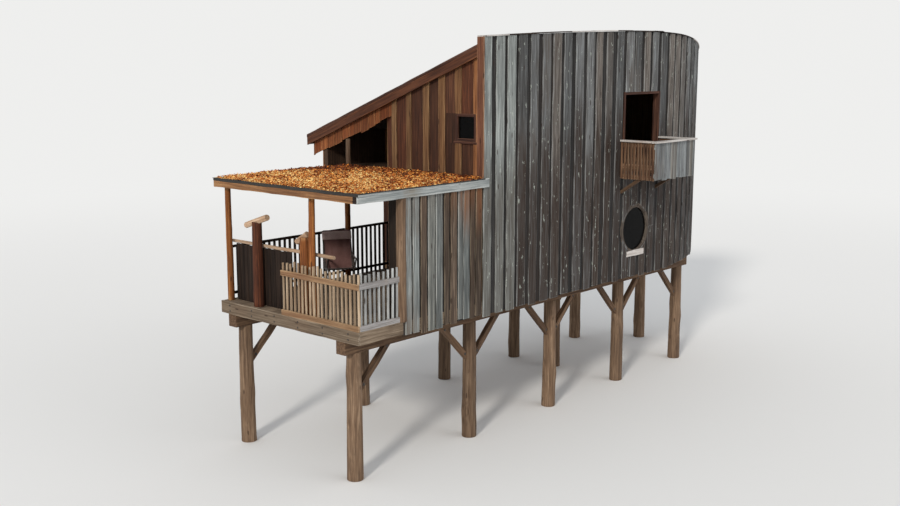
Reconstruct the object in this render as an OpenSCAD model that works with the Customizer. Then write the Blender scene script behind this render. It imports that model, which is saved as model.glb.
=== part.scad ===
// Tree house on log stilts: a tall board-clad cabin with one rounded end, a mono-pitch roof,
// a small upper balcony, and a flat-roofed porch at its left end.
// The working plan has x to the right along the tall front wall, y backwards and z up from the ground.
// x = 0 is the porch roof's left edge, and y = 0 is the outer face of the front wall's boards.

/* [Levels] */
// Height of the deck and of the house floor above the ground
deck_z = 2700; // [2300:50:3200]
// Height of the porch roof's top above the deck
porch_h = 2250; // [2150:10:2500]
// How far the loft floor's top lies below the porch roof's top
loft_step = 50; // [20:5:90]
// Thickness of the loft floor
loft_t = 120; // [100:5:150]
// Height of the front wall's left corner above the porch roof
front_h = 2480; // [2300:20:2900]
// Extra height of the front wall where it starts to curve away
crown_rise = 190; // [100:10:300]
// Height of the main roof above the porch roof, taken at the front face
roof_rise = 2390; // [2250:10:2420]
// Fall of the main roof towards the back, in degrees
roof_pitch = 21.1; // [18:0.1:23]

/* [House] */
// Distance from the porch roof's left edge to the front wall's left edge
house_left = 3110; // [2800:10:3600]
// Length of the straight part of the front wall
front_run = 5890; // [5200:10:6800]
// Depth of the house over its boards
house_depth = 4400; // [4200:20:4700]
// Radius of the gentle curve where the front wall turns away
end_r = 6000; // [5200:50:7000]
// Turn of the gentle curve, in degrees, before the tight curve of the nose
end_turn = 28; // [24:1:31]
// Thickness of a wall without its outer boards
wall_t = 100; // [80:5:140]
// Depth that is kept free for the outer boards
cladding = 50; // [40:2:60]
// How far the gable wall stands back from the front wall's end
gable_back = 90; // [80:5:140]
// Radius of the house's rounded corner beside the terrace
corner_r = 600; // [400:20:800]
// Distance from the front to the terrace's wall
terrace_y = 2800; // [2600:20:3000]
// Width of the terrace that is cut into the house's back corner
terrace_w = 1700; // [1200:50:2200]

/* [Roof] */
// Thickness of the main roof
roof_t = 120; // [90:5:160]
// Overhang of the main roof at the back
eave = 290; // [200:10:400]
// Depth of the boards along the roof's edges
verge_h = 215; // [190:5:260]
// Thickness of the boards along the roof's edges
verge_t = 40; // [30:1:55]
// Height of the edge boards above the roof's felt
verge_lip = 15; // [10:1:25]
// Height of the short boards that close the gable above the niche
header_h = 350; // [250:10:420]
// Thickness of the short boards above the niche
header_t = 30; // [20:1:40]
// Start of the short boards, from the front
header_y = 2260; // [2000:20:2500]

/* [Openings] */
// Start of the doorway between porch and house, from the front
door_y = 1000; // [860:10:1250]
// Width of the doorway over its frame
door_w = 860; // [760:10:900]
// Height of the doorway over its frame
door_h = 1950; // [1850:10:1990]
// Width of the frame's members
frame_w = 55; // [40:1:70]
// Distance that a frame stands out from its wall
frame_proud = 45; // [30:1:50]
// Start of the balcony's opening from the front wall's left edge
balcony_run = 4490; // [4000:10:4900]
// Height of the balcony's opening
balcony_door_h = 1480; // [1300:10:1600]
// Size of a small square window over its frame
window_s = 500; // [400:10:600]
// Distance of the gable window from the front
window_y = 230; // [200:10:320]
// Height of the gable window above the porch roof
window_up = 630; // [500:10:800]
// Height of the rear windows above the floor
rear_window_up = 1050; // [800:10:1300]
// Distance of the first rear window from the terrace
rear_window_in = 1100; // [900:20:1200]
// Distance between the rear windows
rear_window_pitch = 1600; // [1400:20:1700]
// Height of a window's sill
sill_h = 40; // [30:1:55]
// Distance that a sill stands out from its frame
sill_proud = 15; // [10:1:25]
// Thickness of the glass
glass_t = 12; // [8:1:20]
// Radius of the round window over its frame
round_r = 540; // [480:10:580]
// Distance of the round window's centre from the front wall's curved end
round_back = 850; // [800:10:900]
// Height of the round window's centre above the floor
round_up = 780; // [720:10:900]
// Distance that the plank under the round window stands out from its ring
round_sill_proud = 20; // [15:1:25]

/* [Balcony] */
// Distance that the balcony stands out from the boards
balcony_out = 840; // [700:10:1000]
// Height of the balcony's sides above the porch roof
balcony_top = 460; // [400:10:560]
// Distance that the balcony's boards hang below the loft floor
balcony_skirt = 300; // [250:10:400]
// Distance that the balcony reaches past its opening on each side
balcony_side = 100; // [70:5:150]
// Thickness of the balcony's sides
balcony_t = 50; // [40:1:70]
// Thickness of the balcony's floor
balcony_floor_t = 50; // [40:1:70]
// Thickness of the balcony's cap rail
cap_t = 40; // [30:1:55]
// Width of the balcony's cap rail
cap_w = 130; // [110:5:180]
// Drop of the balcony's brackets
bracket_drop = 520; // [400:10:560]
// Width of the bars in the balcony's brackets
bracket_w = 80; // [60:2:100]

/* [Porch] */
// Depth of the porch from front to back
porch_depth = 3700; // [3500:20:4000]
// Inset of the deck's boards from the roof's edges
deck_inset = 30; // [20:1:60]
// Thickness of the deck and floor boards
board_t = 40; // [30:1:50]
// Thickness of the porch roof's boards
porch_roof_t = 40; // [30:1:50]
// Depth of the porch rafters
rafter_h = 110; // [90:5:140]
// Width of rafters and joists, and half the width of the beam over the left posts
rafter_w = 60; // [45:1:80]
// Number of porch rafters
rafter_n = 7; // [5:1:9]
// Depth of the porch roof's edge boards
fascia_h = 160; // [150:2:190]
// Thickness of the porch roof's edge boards
fascia_t = 30; // [20:1:40]
// Distance that the front edge board laps onto the tall wall
fascia_lap = 110; // [80:5:150]
// Distance of the posts' centres from the porch roof's left edge
post_x = 190; // [170:5:240]
// Radius of the thin roof posts
post_r = 55; // [45:1:70]
// Distance of the near roof post from the front
near_post_y = 1290; // [1150:10:1350]
// Greatest height of the fallen needles on the porch roof
litter_h = 55; // [30:1:80]
// Distance of the fallen needles from the roof's edges and from the wall
litter_gap = 15; // [10:1:30]

/* [Rails] */
// Radius of the short log posts
log_r = 90; // [75:1:100]
// Distance of the near log post from the front
near_log_y = 1490; // [1460:10:1560]
// Height of the near log post above the deck
near_log_h = 1400; // [1250:10:1550]
// Distance of the far log post from the front
far_log_y = 2770; // [2500:10:2900]
// Height of the far log post above the deck
far_log_h = 1530; // [1350:10:1650]
// Radius of the near post's cap log
near_cap_r = 48; // [40:1:55]
// Length of the near post's cap log
near_cap_l = 330; // [300:5:350]
// Distance of the near cap's middle behind its post
near_cap_back = 60; // [50:1:70]
// Rise of the near cap towards the front, in degrees
near_cap_tilt = 30; // [24:1:34]
// Radius of the far post's cap log
far_cap_r = 55; // [45:1:65]
// Length of the far post's cap log
far_cap_l = 620; // [500:10:700]
// Rise of the far cap towards the front, in degrees
far_cap_tilt = 18; // [12:1:24]
// Radius of the round handrail
pole_r = 30; // [24:1:36]
// Distance that the handrail reaches past the near roof post, to the front
pole_over = 400; // [300:10:500]
// Height of the handrail's centre above the deck
pole_h = 1085; // [1000:5:1120]
// Width of the open front of the porch, up to the screen wall
front_gap = 1060; // [900:10:1300]
// Length of the picket railing at the porch's left side
picket_run = 1960; // [1700:20:1980]
// Height of the pickets above the deck
picket_h = 960; // [880:10:1000]
// Radius of a picket
picket_r = 22; // [16:1:24]
// Distance between pickets
picket_pitch = 78; // [70:1:100]
// Difference between the pickets' heights and their mean
picket_vary = 18; // [10:1:25]
// Depth of the flat on a picket where a plank crosses it
picket_flat = 4; // [3:1:6]
// Width of a railing's plank
plank_h = 95; // [70:5:120]
// Thickness of a railing's plank
plank_t = 25; // [20:1:32]
// Height of the upper plank above the deck
plank_up = 690; // [600:10:740]
// Height of the rear railing above the deck
rear_rail_h = 1000; // [900:10:1100]
// Distance between the rear railing's bars
bar_pitch = 125; // [110:5:160]
// Width of the rear railing's bars
bar_w = 45; // [35:1:55]
// Thickness of the boarded screen beside the open front
screen_t = 60; // [45:1:80]
// Distance of the screen behind the house's front wall
screen_back = 10; // [5:1:20]
// Radius of the log at the screen's corner
corner_log_r = 75; // [60:1:90]
// Length of the screen's short return
screen_return = 260; // [200:10:320]

/* [Support] */
// Radius of a stilt at the ground
stilt_r = 140; // [120:2:170]
// Radius of a stilt at its top
stilt_top_r = 120; // [110:2:119]
// Depth of the main beams
main_beam_h = 240; // [200:10:300]
// Width of the main beams
main_beam_w = 220; // [180:10:240]
// Depth of the floor joists
joist_h = 180; // [150:5:220]
// Distance between joists
joist_pitch = 590; // [450:10:700]
// Distance of the front beam from the front
front_beam_y = 500; // [450:10:700]
// Distance of the rear beam from the front
rear_beam_y = 3400; // [3200:20:3550]
// Distance of the first stilts from the porch roof's left edge
first_stilt_x = 350; // [300:10:500]
// Distance between the second and the following stilts
stilt_pitch = 2500; // [2300:20:2650]
// Distance of the second and of the last stilt from the lines that they carry
stilt_in = 100; // [60:5:140]
// Length of a knee brace along each leg of its triangle
brace_leg = 700; // [500:20:900]
// Thickness of a knee brace
brace_t = 100; // [80:5:120]
// Thickness of the boards round the deck's edge
rim_t = 30; // [20:1:40]

/* [Chair] */
// Width of the porch chair
chair_w = 560; // [500:10:620]
// Height of the chair's back
chair_h = 1050; // [950:10:1120]
// Distance of the chair from the porch roof's left edge
chair_x = 2250; // [1900:10:2350]
// Distance of the chair from the front
chair_y = 2900; // [2750:10:2950]
// Turn of the chair, in degrees
chair_turn = -35; // [-50:1:-20]
// Width of the chair's bars
chair_bar_w = 24; // [20:1:28]
// Height of the seat
seat_h = 400; // [370:5:430]
// Depth of the seat
seat_d = 470; // [440:5:500]
// Distance that the back leans over
back_run = 330; // [280:5:360]
// Height of the arms
arm_h = 620; // [590:5:650]
// Thickness of the cloth
cloth_t = 8; // [6:1:12]
// Sag of the cloth between its bars
sag = 45; // [30:1:55]

/* [Hidden] */
$fn = 64;

// Levels
porch_top = deck_z + porch_h;
loft_z = porch_top - loft_step;
joist_z = deck_z - board_t - joist_h;
beam_z = joist_z - main_beam_h;
rafter_z = porch_top - porch_roof_t - rafter_h;
slope = tan(roof_pitch);

// House plan
face_y = cladding;
inner_y = cladding + wall_t;
gable_x = house_left + gable_back;
gable_in = gable_x + wall_t;
bend_x = house_left + front_run;
back_y = house_depth - cladding;
terrace_x = gable_x + terrace_w;
corner_x = gable_x + corner_r;
corner_y = terrace_y - corner_r;
nose_r = end_r - (end_r - house_depth / 2) / cos(end_turn);
nose_x = bend_x + (end_r - nose_r) * sin(end_turn);
nose_y = house_depth / 2;
end_x = nose_x + nose_r - cladding;

// Openings and balcony
balcony_x = house_left + balcony_run;
balcony_head = porch_top + balcony_door_h - loft_step;
balcony_left = balcony_x - balcony_side;
balcony_right = bend_x + balcony_t;
rail_z = porch_top + balcony_top - cap_t;
cap_over = (cap_w - balcony_t) / 2;
round_x = bend_x - round_back;
round_z = deck_z + round_up;
gable_window_z = porch_top + window_up;
door_top = deck_z + door_h;
rear_window_z = deck_z + rear_window_up;
rear_window_x = [for (i = [0:1]) terrace_x + rear_window_in + i * rear_window_pitch];

// Porch plan
screen_y = cladding + screen_back;
pole_x = post_x + log_r + pole_r;
last_post_y = porch_depth - 2 * rafter_w;
right_post_x = gable_x - cladding - post_r;
stilts_x = [first_stilt_x, for (i = [0:3]) gable_x + stilt_in + i * stilt_pitch];
nose_stilt_x = nose_x + nose_r / 2 + stilt_in;
beam_end_x = stilts_x[4] + 2 * stilt_r;

// Centre of the whole object in the working plan
front_edge = -balcony_out - cap_over;
rear_edge = house_depth + eave + verge_t;
centre = [end_x / 2, (front_edge + rear_edge) / 2, 0];

// Shapes that more than one sub-part uses

function arc(c, r, a0, a1, n) =
    [for (i = [0:n]) let (a = a0 + (a1 - a0) * i / n) [c[0] + r * cos(a), c[1] + r * sin(a)]];

// Top of the main roof at a distance y from the front
function roof_z(y) = porch_top + roof_rise - slope * y;

// Top of the front wall, which rises in a slow curve to the right
function front_top(x) = porch_top + front_h + crown_rise * sin(90 * (x - house_left) / front_run);

// Height of the end walls above the main roof, so that they carry on from the front wall
parapet = front_h + crown_rise - roof_rise;

module place() {
    translate(-centre) children();
}

module box(low, high) {
    translate(low) cube(high - low);
}

// A profile in x and z, extruded along y
module along_y(y0, y1) {
    translate([0, y1, 0]) rotate([90, 0, 0]) linear_extrude(y1 - y0) children();
}

// A profile in y and z, extruded along x
module along_x(x0, x1) {
    translate([x0, 0, 0]) rotate([90, 0, 90]) linear_extrude(x1 - x0) children();
}

// A plan outline between two heights
module between(z0, z1) {
    translate([0, 0, z0]) linear_extrude(z1 - z0) children();
}

// A band that follows the main roof, from one lift to another above its top
module roof_band(y0, y1, low, high) {
    polygon([[y0, roof_z(y0) + low], [y1, roof_z(y1) + low],
        [y1, roof_z(y1) + high], [y0, roof_z(y0) + high]]);
}

// Everything below the main roof's top plus a lift
module under_roof(lift) {
    reach = 2 * house_depth;
    along_x(0, 2 * end_x) polygon([[-reach, 0], [reach, 0],
        [reach, roof_z(reach) + lift], [-reach, roof_z(-reach) + lift]]);
}

// The curved end's inner face, from the front to the back
function end_line(gap) = let (inset = inner_y + gap) concat(
    arc([bend_x, end_r], end_r - inset, -90, -90 + end_turn, 7),
    arc([nose_x, nose_y], nose_r - inset, -90 + end_turn, 90 - end_turn, 20),
    arc([bend_x, house_depth - end_r], end_r - inset, 90 - end_turn, 90, 7));

module house_plan() {
    polygon(concat([[gable_in, inner_y]], end_line(0),
        [[terrace_x + wall_t, back_y - wall_t], [terrace_x + wall_t, terrace_y - wall_t]],
        arc([corner_x, corner_y], corner_r - wall_t, 90, 180, 12)));
}

// The rounded corner's outer face, a hair outside the true curve
function corner_line() = arc([corner_x, corner_y], corner_r / cos(4) + 0.5, 180, 90, 12);

module curved_wall(c, r, a0, a1) {
    translate([c[0], c[1], joist_z]) rotate([0, 0, a0]) rotate_extrude(angle = a1 - a0, $fn = 180)
        translate([r - inner_y, 0]) square([wall_t, porch_top + front_h + crown_rise - joist_z]);
}

module window_frame() {
    difference() {
        square([window_s, window_s]);
        translate([frame_w, frame_w]) square(window_s - 2 * frame_w);
    }
}

// Support

module stilt(x, y) {
    translate([x, y, 0]) cylinder(h = beam_z, r1 = stilt_r, r2 = stilt_top_r);
}

module stilts() {
    color("sienna") place() {
        for (x = stilts_x, y = [front_beam_y, rear_beam_y]) stilt(x, y);
        stilt(stilts_x[3], nose_y);
        stilt(nose_stilt_x, nose_y);
    }
}

// A brace from a stilt up to the beam, to the right for side = 1 and to the left for side = -1
module knee_brace(x, y, side) {
    rise = brace_t * sqrt(2);
    difference() {
        translate([x, 0, 0]) scale([side, 1, 1]) along_y(y - brace_t / 2, y + brace_t / 2)
            polygon([[0, beam_z - brace_leg - stilt_r], [brace_leg + stilt_r, beam_z],
                [brace_leg + stilt_r - rise, beam_z], [0, beam_z - brace_leg - stilt_r + rise]]);
        stilt(x, y);
    }
}

module knee_braces() {
    color("peru") place() {
        for (i = [0:4], y = [front_beam_y, rear_beam_y]) {
            if (i > 0) knee_brace(stilts_x[i], y, -1);
            if (i < 4) knee_brace(stilts_x[i], y, 1);
        }
        knee_brace(stilts_x[3], nose_y, 1);
        knee_brace(nose_stilt_x, nose_y, -1);
    }
}

module main_beam(x0, x1, y) {
    box([x0, y - main_beam_w / 2, beam_z], [x1, y + main_beam_w / 2, joist_z]);
}

module main_beams() {
    color("saddlebrown") place() {
        main_beam(deck_inset + rim_t, beam_end_x, front_beam_y);
        main_beam(deck_inset + rim_t, beam_end_x, rear_beam_y);
        main_beam(stilts_x[3] - stilt_r, nose_stilt_x + stilt_r, nose_y);
    }
}

module joist(x, y0, y1) {
    box([x - rafter_w / 2, y0, joist_z], [x + rafter_w / 2, y1, deck_z - board_t]);
}

// Front end of a joist inside the curved end, where x is the joist's farther face
function curve_y(x) =
    x < nose_x + (nose_r - inner_y) * sin(end_turn)
    ? end_r - sqrt(pow(end_r - inner_y, 2) - pow(x - bend_x, 2))
    : nose_y - sqrt(pow(nose_r - inner_y, 2) - pow(x - nose_x, 2));

module floor_joists() {
    edge = deck_inset + rim_t;
    porch_steps = floor((house_left - edge) / joist_pitch);
    terrace_steps = floor((terrace_x - gable_x - rafter_w) / joist_pitch);
    house_steps = floor((bend_x - terrace_x - wall_t - rafter_w) / joist_pitch);
    end_steps = floor((nose_stilt_x - bend_x) / joist_pitch);
    color("burlywood") place() {
        for (i = [0:porch_steps]) joist(edge + rafter_w / 2 + i * joist_pitch, edge, porch_depth - edge);
        for (i = [0:terrace_steps]) {
            x = max(gable_in, corner_x) - corner_r + wall_t + rafter_w + i * joist_pitch;
            joist(x, inner_y, corner_y);
        }
        for (i = [1:terrace_steps]) joist(gable_x + i * joist_pitch, terrace_y, porch_depth - edge);
        for (i = [0:house_steps])
            joist(terrace_x + wall_t + rafter_w / 2 + i * joist_pitch, inner_y, back_y - wall_t);
        for (i = [1:end_steps]) {
            x = bend_x + i * joist_pitch;
            y = curve_y(x + rafter_w / 2);
            joist(x, y, house_depth - y);
        }
    }
}

module house_floor() {
    color("tan") place() between(deck_z - board_t, deck_z) house_plan();
}

module porch_deck() {
    edge = deck_inset + rim_t;
    color("tan") place() between(deck_z - board_t, deck_z) polygon(concat(
        [[edge, edge], [house_left, edge], [house_left, inner_y], [gable_x, inner_y]],
        corner_line(),
        [[terrace_x, terrace_y], [terrace_x, porch_depth - edge], [edge, porch_depth - edge]]));
}

module deck_edge_boards() {
    back = porch_depth - deck_inset;
    color("burlywood") place() {
        box([deck_inset, deck_inset, joist_z], [deck_inset + rim_t, back, deck_z]);
        box([deck_inset + rim_t, deck_inset, joist_z], [house_left, deck_inset + rim_t, deck_z]);
        box([deck_inset + rim_t, back - rim_t, joist_z], [terrace_x, back, deck_z]);
    }
}

// Porch

module round_post(x, y, r, z0, z1) {
    translate([x, y, z0]) cylinder(h = z1 - z0, r = r);
}

module porch_posts() {
    color("chocolate") place() {
        round_post(post_x, near_post_y, post_r, deck_z, rafter_z);
        round_post(post_x, last_post_y, post_r, deck_z, rafter_z);
        round_post(right_post_x, last_post_y, post_r, deck_z, rafter_z);
        intersection() {
            box([gable_x - header_t - post_r, last_post_y, porch_top],
                [gable_x, last_post_y + post_r, roof_z(last_post_y)]);
            under_roof(-roof_t - header_h);
        }
    }
}

// The cap of a log post: a short log that lies across its top and rises to the front
module log_cap(y, h, length, r, tilt) {
    translate([post_x, y, deck_z + h]) rotate([90 - tilt, 0, 0])
        translate([0, 0, -length / 2]) cylinder(h = length, r = r);
}

module near_cap() {
    log_cap(near_log_y + near_cap_back, near_log_h - near_cap_back * tan(near_cap_tilt), near_cap_l,
        near_cap_r, near_cap_tilt);
}

module far_cap() {
    log_cap(far_log_y, far_log_h, far_cap_l, far_cap_r, far_cap_tilt);
}

// A log post that is cut square just under its cap's axis and hollowed to hold the cap
module log_posts() {
    color("rosybrown") place() {
        difference() {
            round_post(post_x, near_log_y, log_r, deck_z, deck_z + near_log_h);
            near_cap();
        }
        difference() {
            round_post(post_x, far_log_y, log_r, deck_z, deck_z + far_log_h);
            far_cap();
        }
    }
}

module log_post_caps() {
    color("wheat") place() {
        near_cap();
        far_cap();
    }
}

module handrail_pole() {
    color("burlywood") place() translate([pole_x, last_post_y + post_r, deck_z + pole_h])
        rotate([90, 0, 0]) cylinder(h = last_post_y + post_r - near_post_y + pole_over, r = pole_r);
}

// Pickets in a row along x, of uneven heights, with two planks on their outer side
module picket_row(length) {
    count = floor((length - 2 * picket_r) / picket_pitch);
    step = (length - 2 * picket_r) / count;
    for (i = [0:count])
        translate([picket_r + i * step, plank_t + picket_r - picket_flat, 0]) rotate([0, 0, 22.5])
            cylinder(h = picket_h - picket_vary * (1 - sin(137 * i)), r = picket_r, $fn = 8);
    translate([0, 0, plank_up]) cube([length, plank_t, plank_h]);
    cube([length, plank_t, plank_h]);
}

module railing_front() {
    color("tan") place() translate([deck_inset + 2 * picket_r + plank_t, deck_inset, deck_z])
        picket_row(front_gap - corner_log_r - deck_inset - 2 * picket_r - plank_t);
}

module railing_left() {
    color("tan") place() translate([deck_inset, picket_run, deck_z]) rotate([0, 0, -90])
        picket_row(picket_run - deck_inset);
}

module railing_boarded() {
    y0 = picket_run + 20;
    y1 = last_post_y - post_r;
    color("dimgray") place() union() {
        box([pole_x - plank_t / 2, y0, deck_z], [pole_x + plank_t / 2, y1, deck_z + pole_h - pole_r]);
        box([pole_x + plank_t / 2, y0, deck_z + plank_h],
            [pole_x + 1.5 * plank_t, y1, deck_z + 2 * plank_h]);
        box([pole_x + plank_t / 2, y0, deck_z + plank_up],
            [pole_x + 1.5 * plank_t, y1, deck_z + plank_up + plank_h]);
    }
}

// One bay of the rear railing between two supports
module bar_bay(x0, x1) {
    y = porch_depth - deck_inset - rim_t - bar_w;
    count = floor((x1 - x0 - bar_w) / bar_pitch);
    step = (x1 - x0 - bar_w) / count;
    top = deck_z + rear_rail_h;
    box([x0, y, top - bar_w], [x1, y + bar_w, top]);
    box([x0, y, deck_z + plank_h], [x1, y + bar_w, deck_z + plank_h + bar_w]);
    for (i = [0:count]) box([x0 + i * step, y, deck_z], [x0 + i * step + bar_w, y + bar_w, top]);
}

module railing_rear() {
    color("dimgray") place() {
        bar_bay(post_x + post_r, right_post_x - post_r);
        bar_bay(right_post_x + post_r, terrace_x);
    }
}

module screen_wall() {
    color("darkgray") place() difference() {
        union() {
            box([front_gap, screen_y, deck_z], [house_left, screen_y + screen_t, rafter_z]);
            box([front_gap - screen_t / 2, screen_y, deck_z],
                [front_gap + screen_t / 2, screen_y + screen_return, rafter_z]);
        }
        round_post(front_gap, screen_y, corner_log_r, deck_z, rafter_z);
    }
}

module screen_corner_log() {
    color("chocolate") place() round_post(front_gap, screen_y, corner_log_r, deck_z, rafter_z);
}

function rafter_y(i) = screen_y + i * (porch_depth - 2 * screen_y - rafter_w) / (rafter_n - 1);

// Rafters, with a beam of their own depth between them over the left posts
module porch_rafters() {
    color("saddlebrown") place() union() {
        for (i = [0:rafter_n - 1])
            box([fascia_t, rafter_y(i), rafter_z],
                [i == 0 ? house_left : gable_x, rafter_y(i) + rafter_w, rafter_z + rafter_h]);
        box([post_x - rafter_w, screen_y, rafter_z],
            [post_x + rafter_w, porch_depth - screen_y, rafter_z + rafter_h]);
    }
}

module porch_roof() {
    color("saddlebrown") place() between(porch_top - porch_roof_t, porch_top)
        polygon([[fascia_t, 0], [house_left, 0], [house_left, inner_y], [gable_x, inner_y],
            [gable_x, porch_depth], [fascia_t, porch_depth]]);
}

module porch_fascia_front() {
    color("lightslategray") place()
        box([0, -fascia_t, porch_top - fascia_h], [house_left + fascia_lap, 0, porch_top]);
}

module porch_fascia_sides() {
    z = porch_top - fascia_h;
    color("peru") place() {
        box([0, 0, z], [fascia_t, porch_depth, porch_top]);
        box([0, porch_depth, z], [gable_x, porch_depth + fascia_t, porch_top]);
    }
}

// Height of the fallen needles: low mounds that thin out towards the edges
function litter_top(u, v) =
    8 + litter_h * pow(sin(180 * u) * sin(180 * v), 0.4)
    * (0.62 + 0.2 * sin(520 * u + 140 * v) + 0.18 * sin(610 * v - 260 * u));

module roof_litter() {
    n = 18;
    edge = fascia_t + litter_gap;
    size = [gable_x - cladding - litter_gap - edge, porch_depth - edge];
    base = [edge, litter_gap];
    top = [for (j = [0:n], i = [0:n])
        [base[0] + size[0] * i / n, base[1] + size[1] * j / n, porch_top + litter_top(i / n, j / n)]];
    low = [for (p = top) [p[0], p[1], porch_top]];
    m = n + 1;
    count = m * m;
    faces = concat(
        [for (j = [0:n - 1], i = [0:n - 1]) [j * m + i, (j + 1) * m + i, (j + 1) * m + i + 1]],
        [for (j = [0:n - 1], i = [0:n - 1]) [j * m + i, (j + 1) * m + i + 1, j * m + i + 1]],
        [for (i = [0:n - 1]) [i, i + 1, count + i + 1, count + i]],
        [for (i = [0:n - 1]) [n * m + i + 1, n * m + i, count + n * m + i, count + n * m + i + 1]],
        [for (j = [0:n - 1]) [(j + 1) * m, j * m, count + j * m, count + (j + 1) * m]],
        [for (j = [0:n - 1]) [j * m + n, (j + 1) * m + n, count + (j + 1) * m + n, count + j * m + n]],
        [for (j = [0:n - 1], i = [0:n - 1]) let (a = count + j * m + i) [a, a + 1, a + m + 1, a + m]]);
    color("darkorange") place() polyhedron(concat(top, low), faces);
}

// Walls

module front_wall_left() {
    steps = 12;
    color("lightgray") place() along_y(face_y, inner_y) polygon(concat(
        [[house_left, joist_z], [balcony_x, joist_z]],
        [for (i = [steps:-1:0]) let (x = house_left + balcony_run * i / steps) [x, front_top(x)]]));
}

module front_wall_lower() {
    color("lightgray") place() along_y(face_y, inner_y) difference() {
        translate([balcony_x, joist_z]) square([bend_x - balcony_x, loft_z - joist_z]);
        translate([round_x, round_z]) circle(r = round_r - frame_w / 2);
    }
}

module front_wall_over_balcony() {
    steps = 4;
    color("lightgray") place() along_y(face_y, inner_y) polygon(concat(
        [[balcony_x, balcony_head], [bend_x, balcony_head]],
        [for (i = [steps:-1:0]) let (x = balcony_x + (bend_x - balcony_x) * i / steps)
            [x, front_top(x)]]));
}

module end_wall_front() {
    color("silver") place() intersection() {
        curved_wall([bend_x, end_r], end_r, -90, -90 + end_turn);
        under_roof(parapet);
    }
}

module end_wall_nose() {
    color("silver") place() intersection() {
        curved_wall([nose_x, nose_y], nose_r, -90 + end_turn, 90 - end_turn);
        under_roof(parapet);
    }
}

module end_wall_rear() {
    color("silver") place() intersection() {
        curved_wall([bend_x, house_depth - end_r], end_r, 90 - end_turn, 90);
        under_roof(parapet);
    }
}

module rear_wall() {
    color("darkgray") place() intersection() {
        along_y(back_y - wall_t, back_y) difference() {
            translate([terrace_x + wall_t, joist_z])
                square([bend_x - terrace_x - wall_t, roof_z(0) - joist_z]);
            for (x = rear_window_x) translate([x, rear_window_z]) square(window_s);
        }
        under_roof(-roof_t);
    }
}

module terrace_side_wall() {
    color("sienna") place() intersection() {
        box([terrace_x, terrace_y - wall_t, joist_z], [terrace_x + wall_t, back_y, roof_z(0)]);
        under_roof(-roof_t);
    }
}

module terrace_back_wall() {
    color("sienna") place() intersection() {
        box([corner_x, terrace_y - wall_t, joist_z], [terrace_x, terrace_y, roof_z(0)]);
        under_roof(-roof_t);
    }
}

module rounded_corner() {
    color("sienna") place() intersection() {
        translate([corner_x, corner_y, joist_z]) rotate([0, 0, 90]) rotate_extrude(angle = 90)
            translate([corner_r - wall_t, 0]) square([wall_t, roof_z(0) - joist_z]);
        under_roof(-roof_t);
    }
}

module gable_wall_front() {
    color("sienna") place() box([gable_x, inner_y, joist_z], [gable_in, door_y, door_top]);
}

module gable_wall_rear() {
    color("sienna") place() box([gable_x, door_y + door_w, joist_z], [gable_in, corner_y, door_top]);
}

module gable_wall_upper() {
    color("sienna") place() along_x(gable_x, gable_in) difference() {
        polygon([[inner_y, door_top], [corner_y, door_top],
            [corner_y, roof_z(corner_y) - roof_t], [inner_y, roof_z(inner_y) - roof_t]]);
        translate([window_y, gable_window_z]) square(window_s);
    }
}

module niche_floor() {
    color("saddlebrown") place() between(loft_z - loft_t, loft_z) polygon(concat(
        corner_line(), [[terrace_x, terrace_y], [terrace_x, back_y], [gable_x, back_y]]));
}

module niche_rear_wall() {
    color("sienna") place() intersection() {
        box([gable_x, back_y - wall_t, loft_z], [terrace_x, back_y, roof_z(0)]);
        under_roof(-roof_t);
    }
}

module niche_header() {
    color("peru") place() along_x(gable_x - header_t, gable_x)
        roof_band(header_y, house_depth + eave - verge_t, -roof_t - header_h, -roof_t);
}

module loft_floor() {
    color("tan") place() between(loft_z - loft_t, loft_z) house_plan();
}

// Main roof

module main_roof() {
    color("dimgray") place() intersection() {
        along_x(house_left, end_x) roof_band(inner_y, house_depth + eave, -roof_t, 0);
        between(porch_top, porch_top + roof_rise) polygon(concat(
            [[house_left, inner_y]], end_line(2),
            [[bend_x, house_depth + eave], [house_left, house_depth + eave]]));
    }
}

module roof_edge_boards() {
    back = house_depth + eave;
    color("saddlebrown") place() {
        along_x(house_left - verge_t, house_left)
            roof_band(inner_y, back + verge_t, verge_lip - verge_h, verge_lip);
        along_x(house_left, bend_x)
            roof_band(back, back + verge_t, verge_lip - verge_h, verge_lip);
    }
}

module corner_board() {
    color("peru") place()
        box([house_left - header_t, 0, porch_top], [house_left, inner_y, front_top(house_left)]);
}

// Frames and glass

module door_frames() {
    color("saddlebrown") place() {
        union() {
            along_x(gable_x - frame_proud, gable_in) difference() {
                translate([door_y, deck_z]) square([door_w, door_h]);
                translate([door_y + frame_w, deck_z])
                    square([door_w - 2 * frame_w, door_h - frame_w]);
            }
            box([gable_x, door_y, joist_z], [gable_in, door_y + door_w, deck_z]);
        }
        along_y(face_y - frame_proud, inner_y) difference() {
            translate([balcony_x, loft_z]) square([bend_x - balcony_x, balcony_head - loft_z]);
            translate([balcony_x + frame_w, loft_z])
                square([bend_x - balcony_x - 2 * frame_w, balcony_head - loft_z - frame_w]);
        }
    }
}

module window_frames() {
    sill_over = frame_w / 2;
    color("saddlebrown") place() {
        along_x(gable_x - frame_proud, gable_in) translate([window_y, gable_window_z])
            window_frame();
        along_x(gable_x - frame_proud - sill_proud, gable_x)
            translate([window_y - sill_over, gable_window_z - sill_h])
            square([window_s + 2 * sill_over, sill_h]);
        for (x = rear_window_x) {
            along_y(back_y - wall_t, back_y + frame_proud) translate([x, rear_window_z])
                window_frame();
            along_y(back_y, back_y + frame_proud + sill_proud)
                translate([x - sill_over, rear_window_z - sill_h])
                square([window_s + 2 * sill_over, sill_h]);
        }
    }
}

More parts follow.
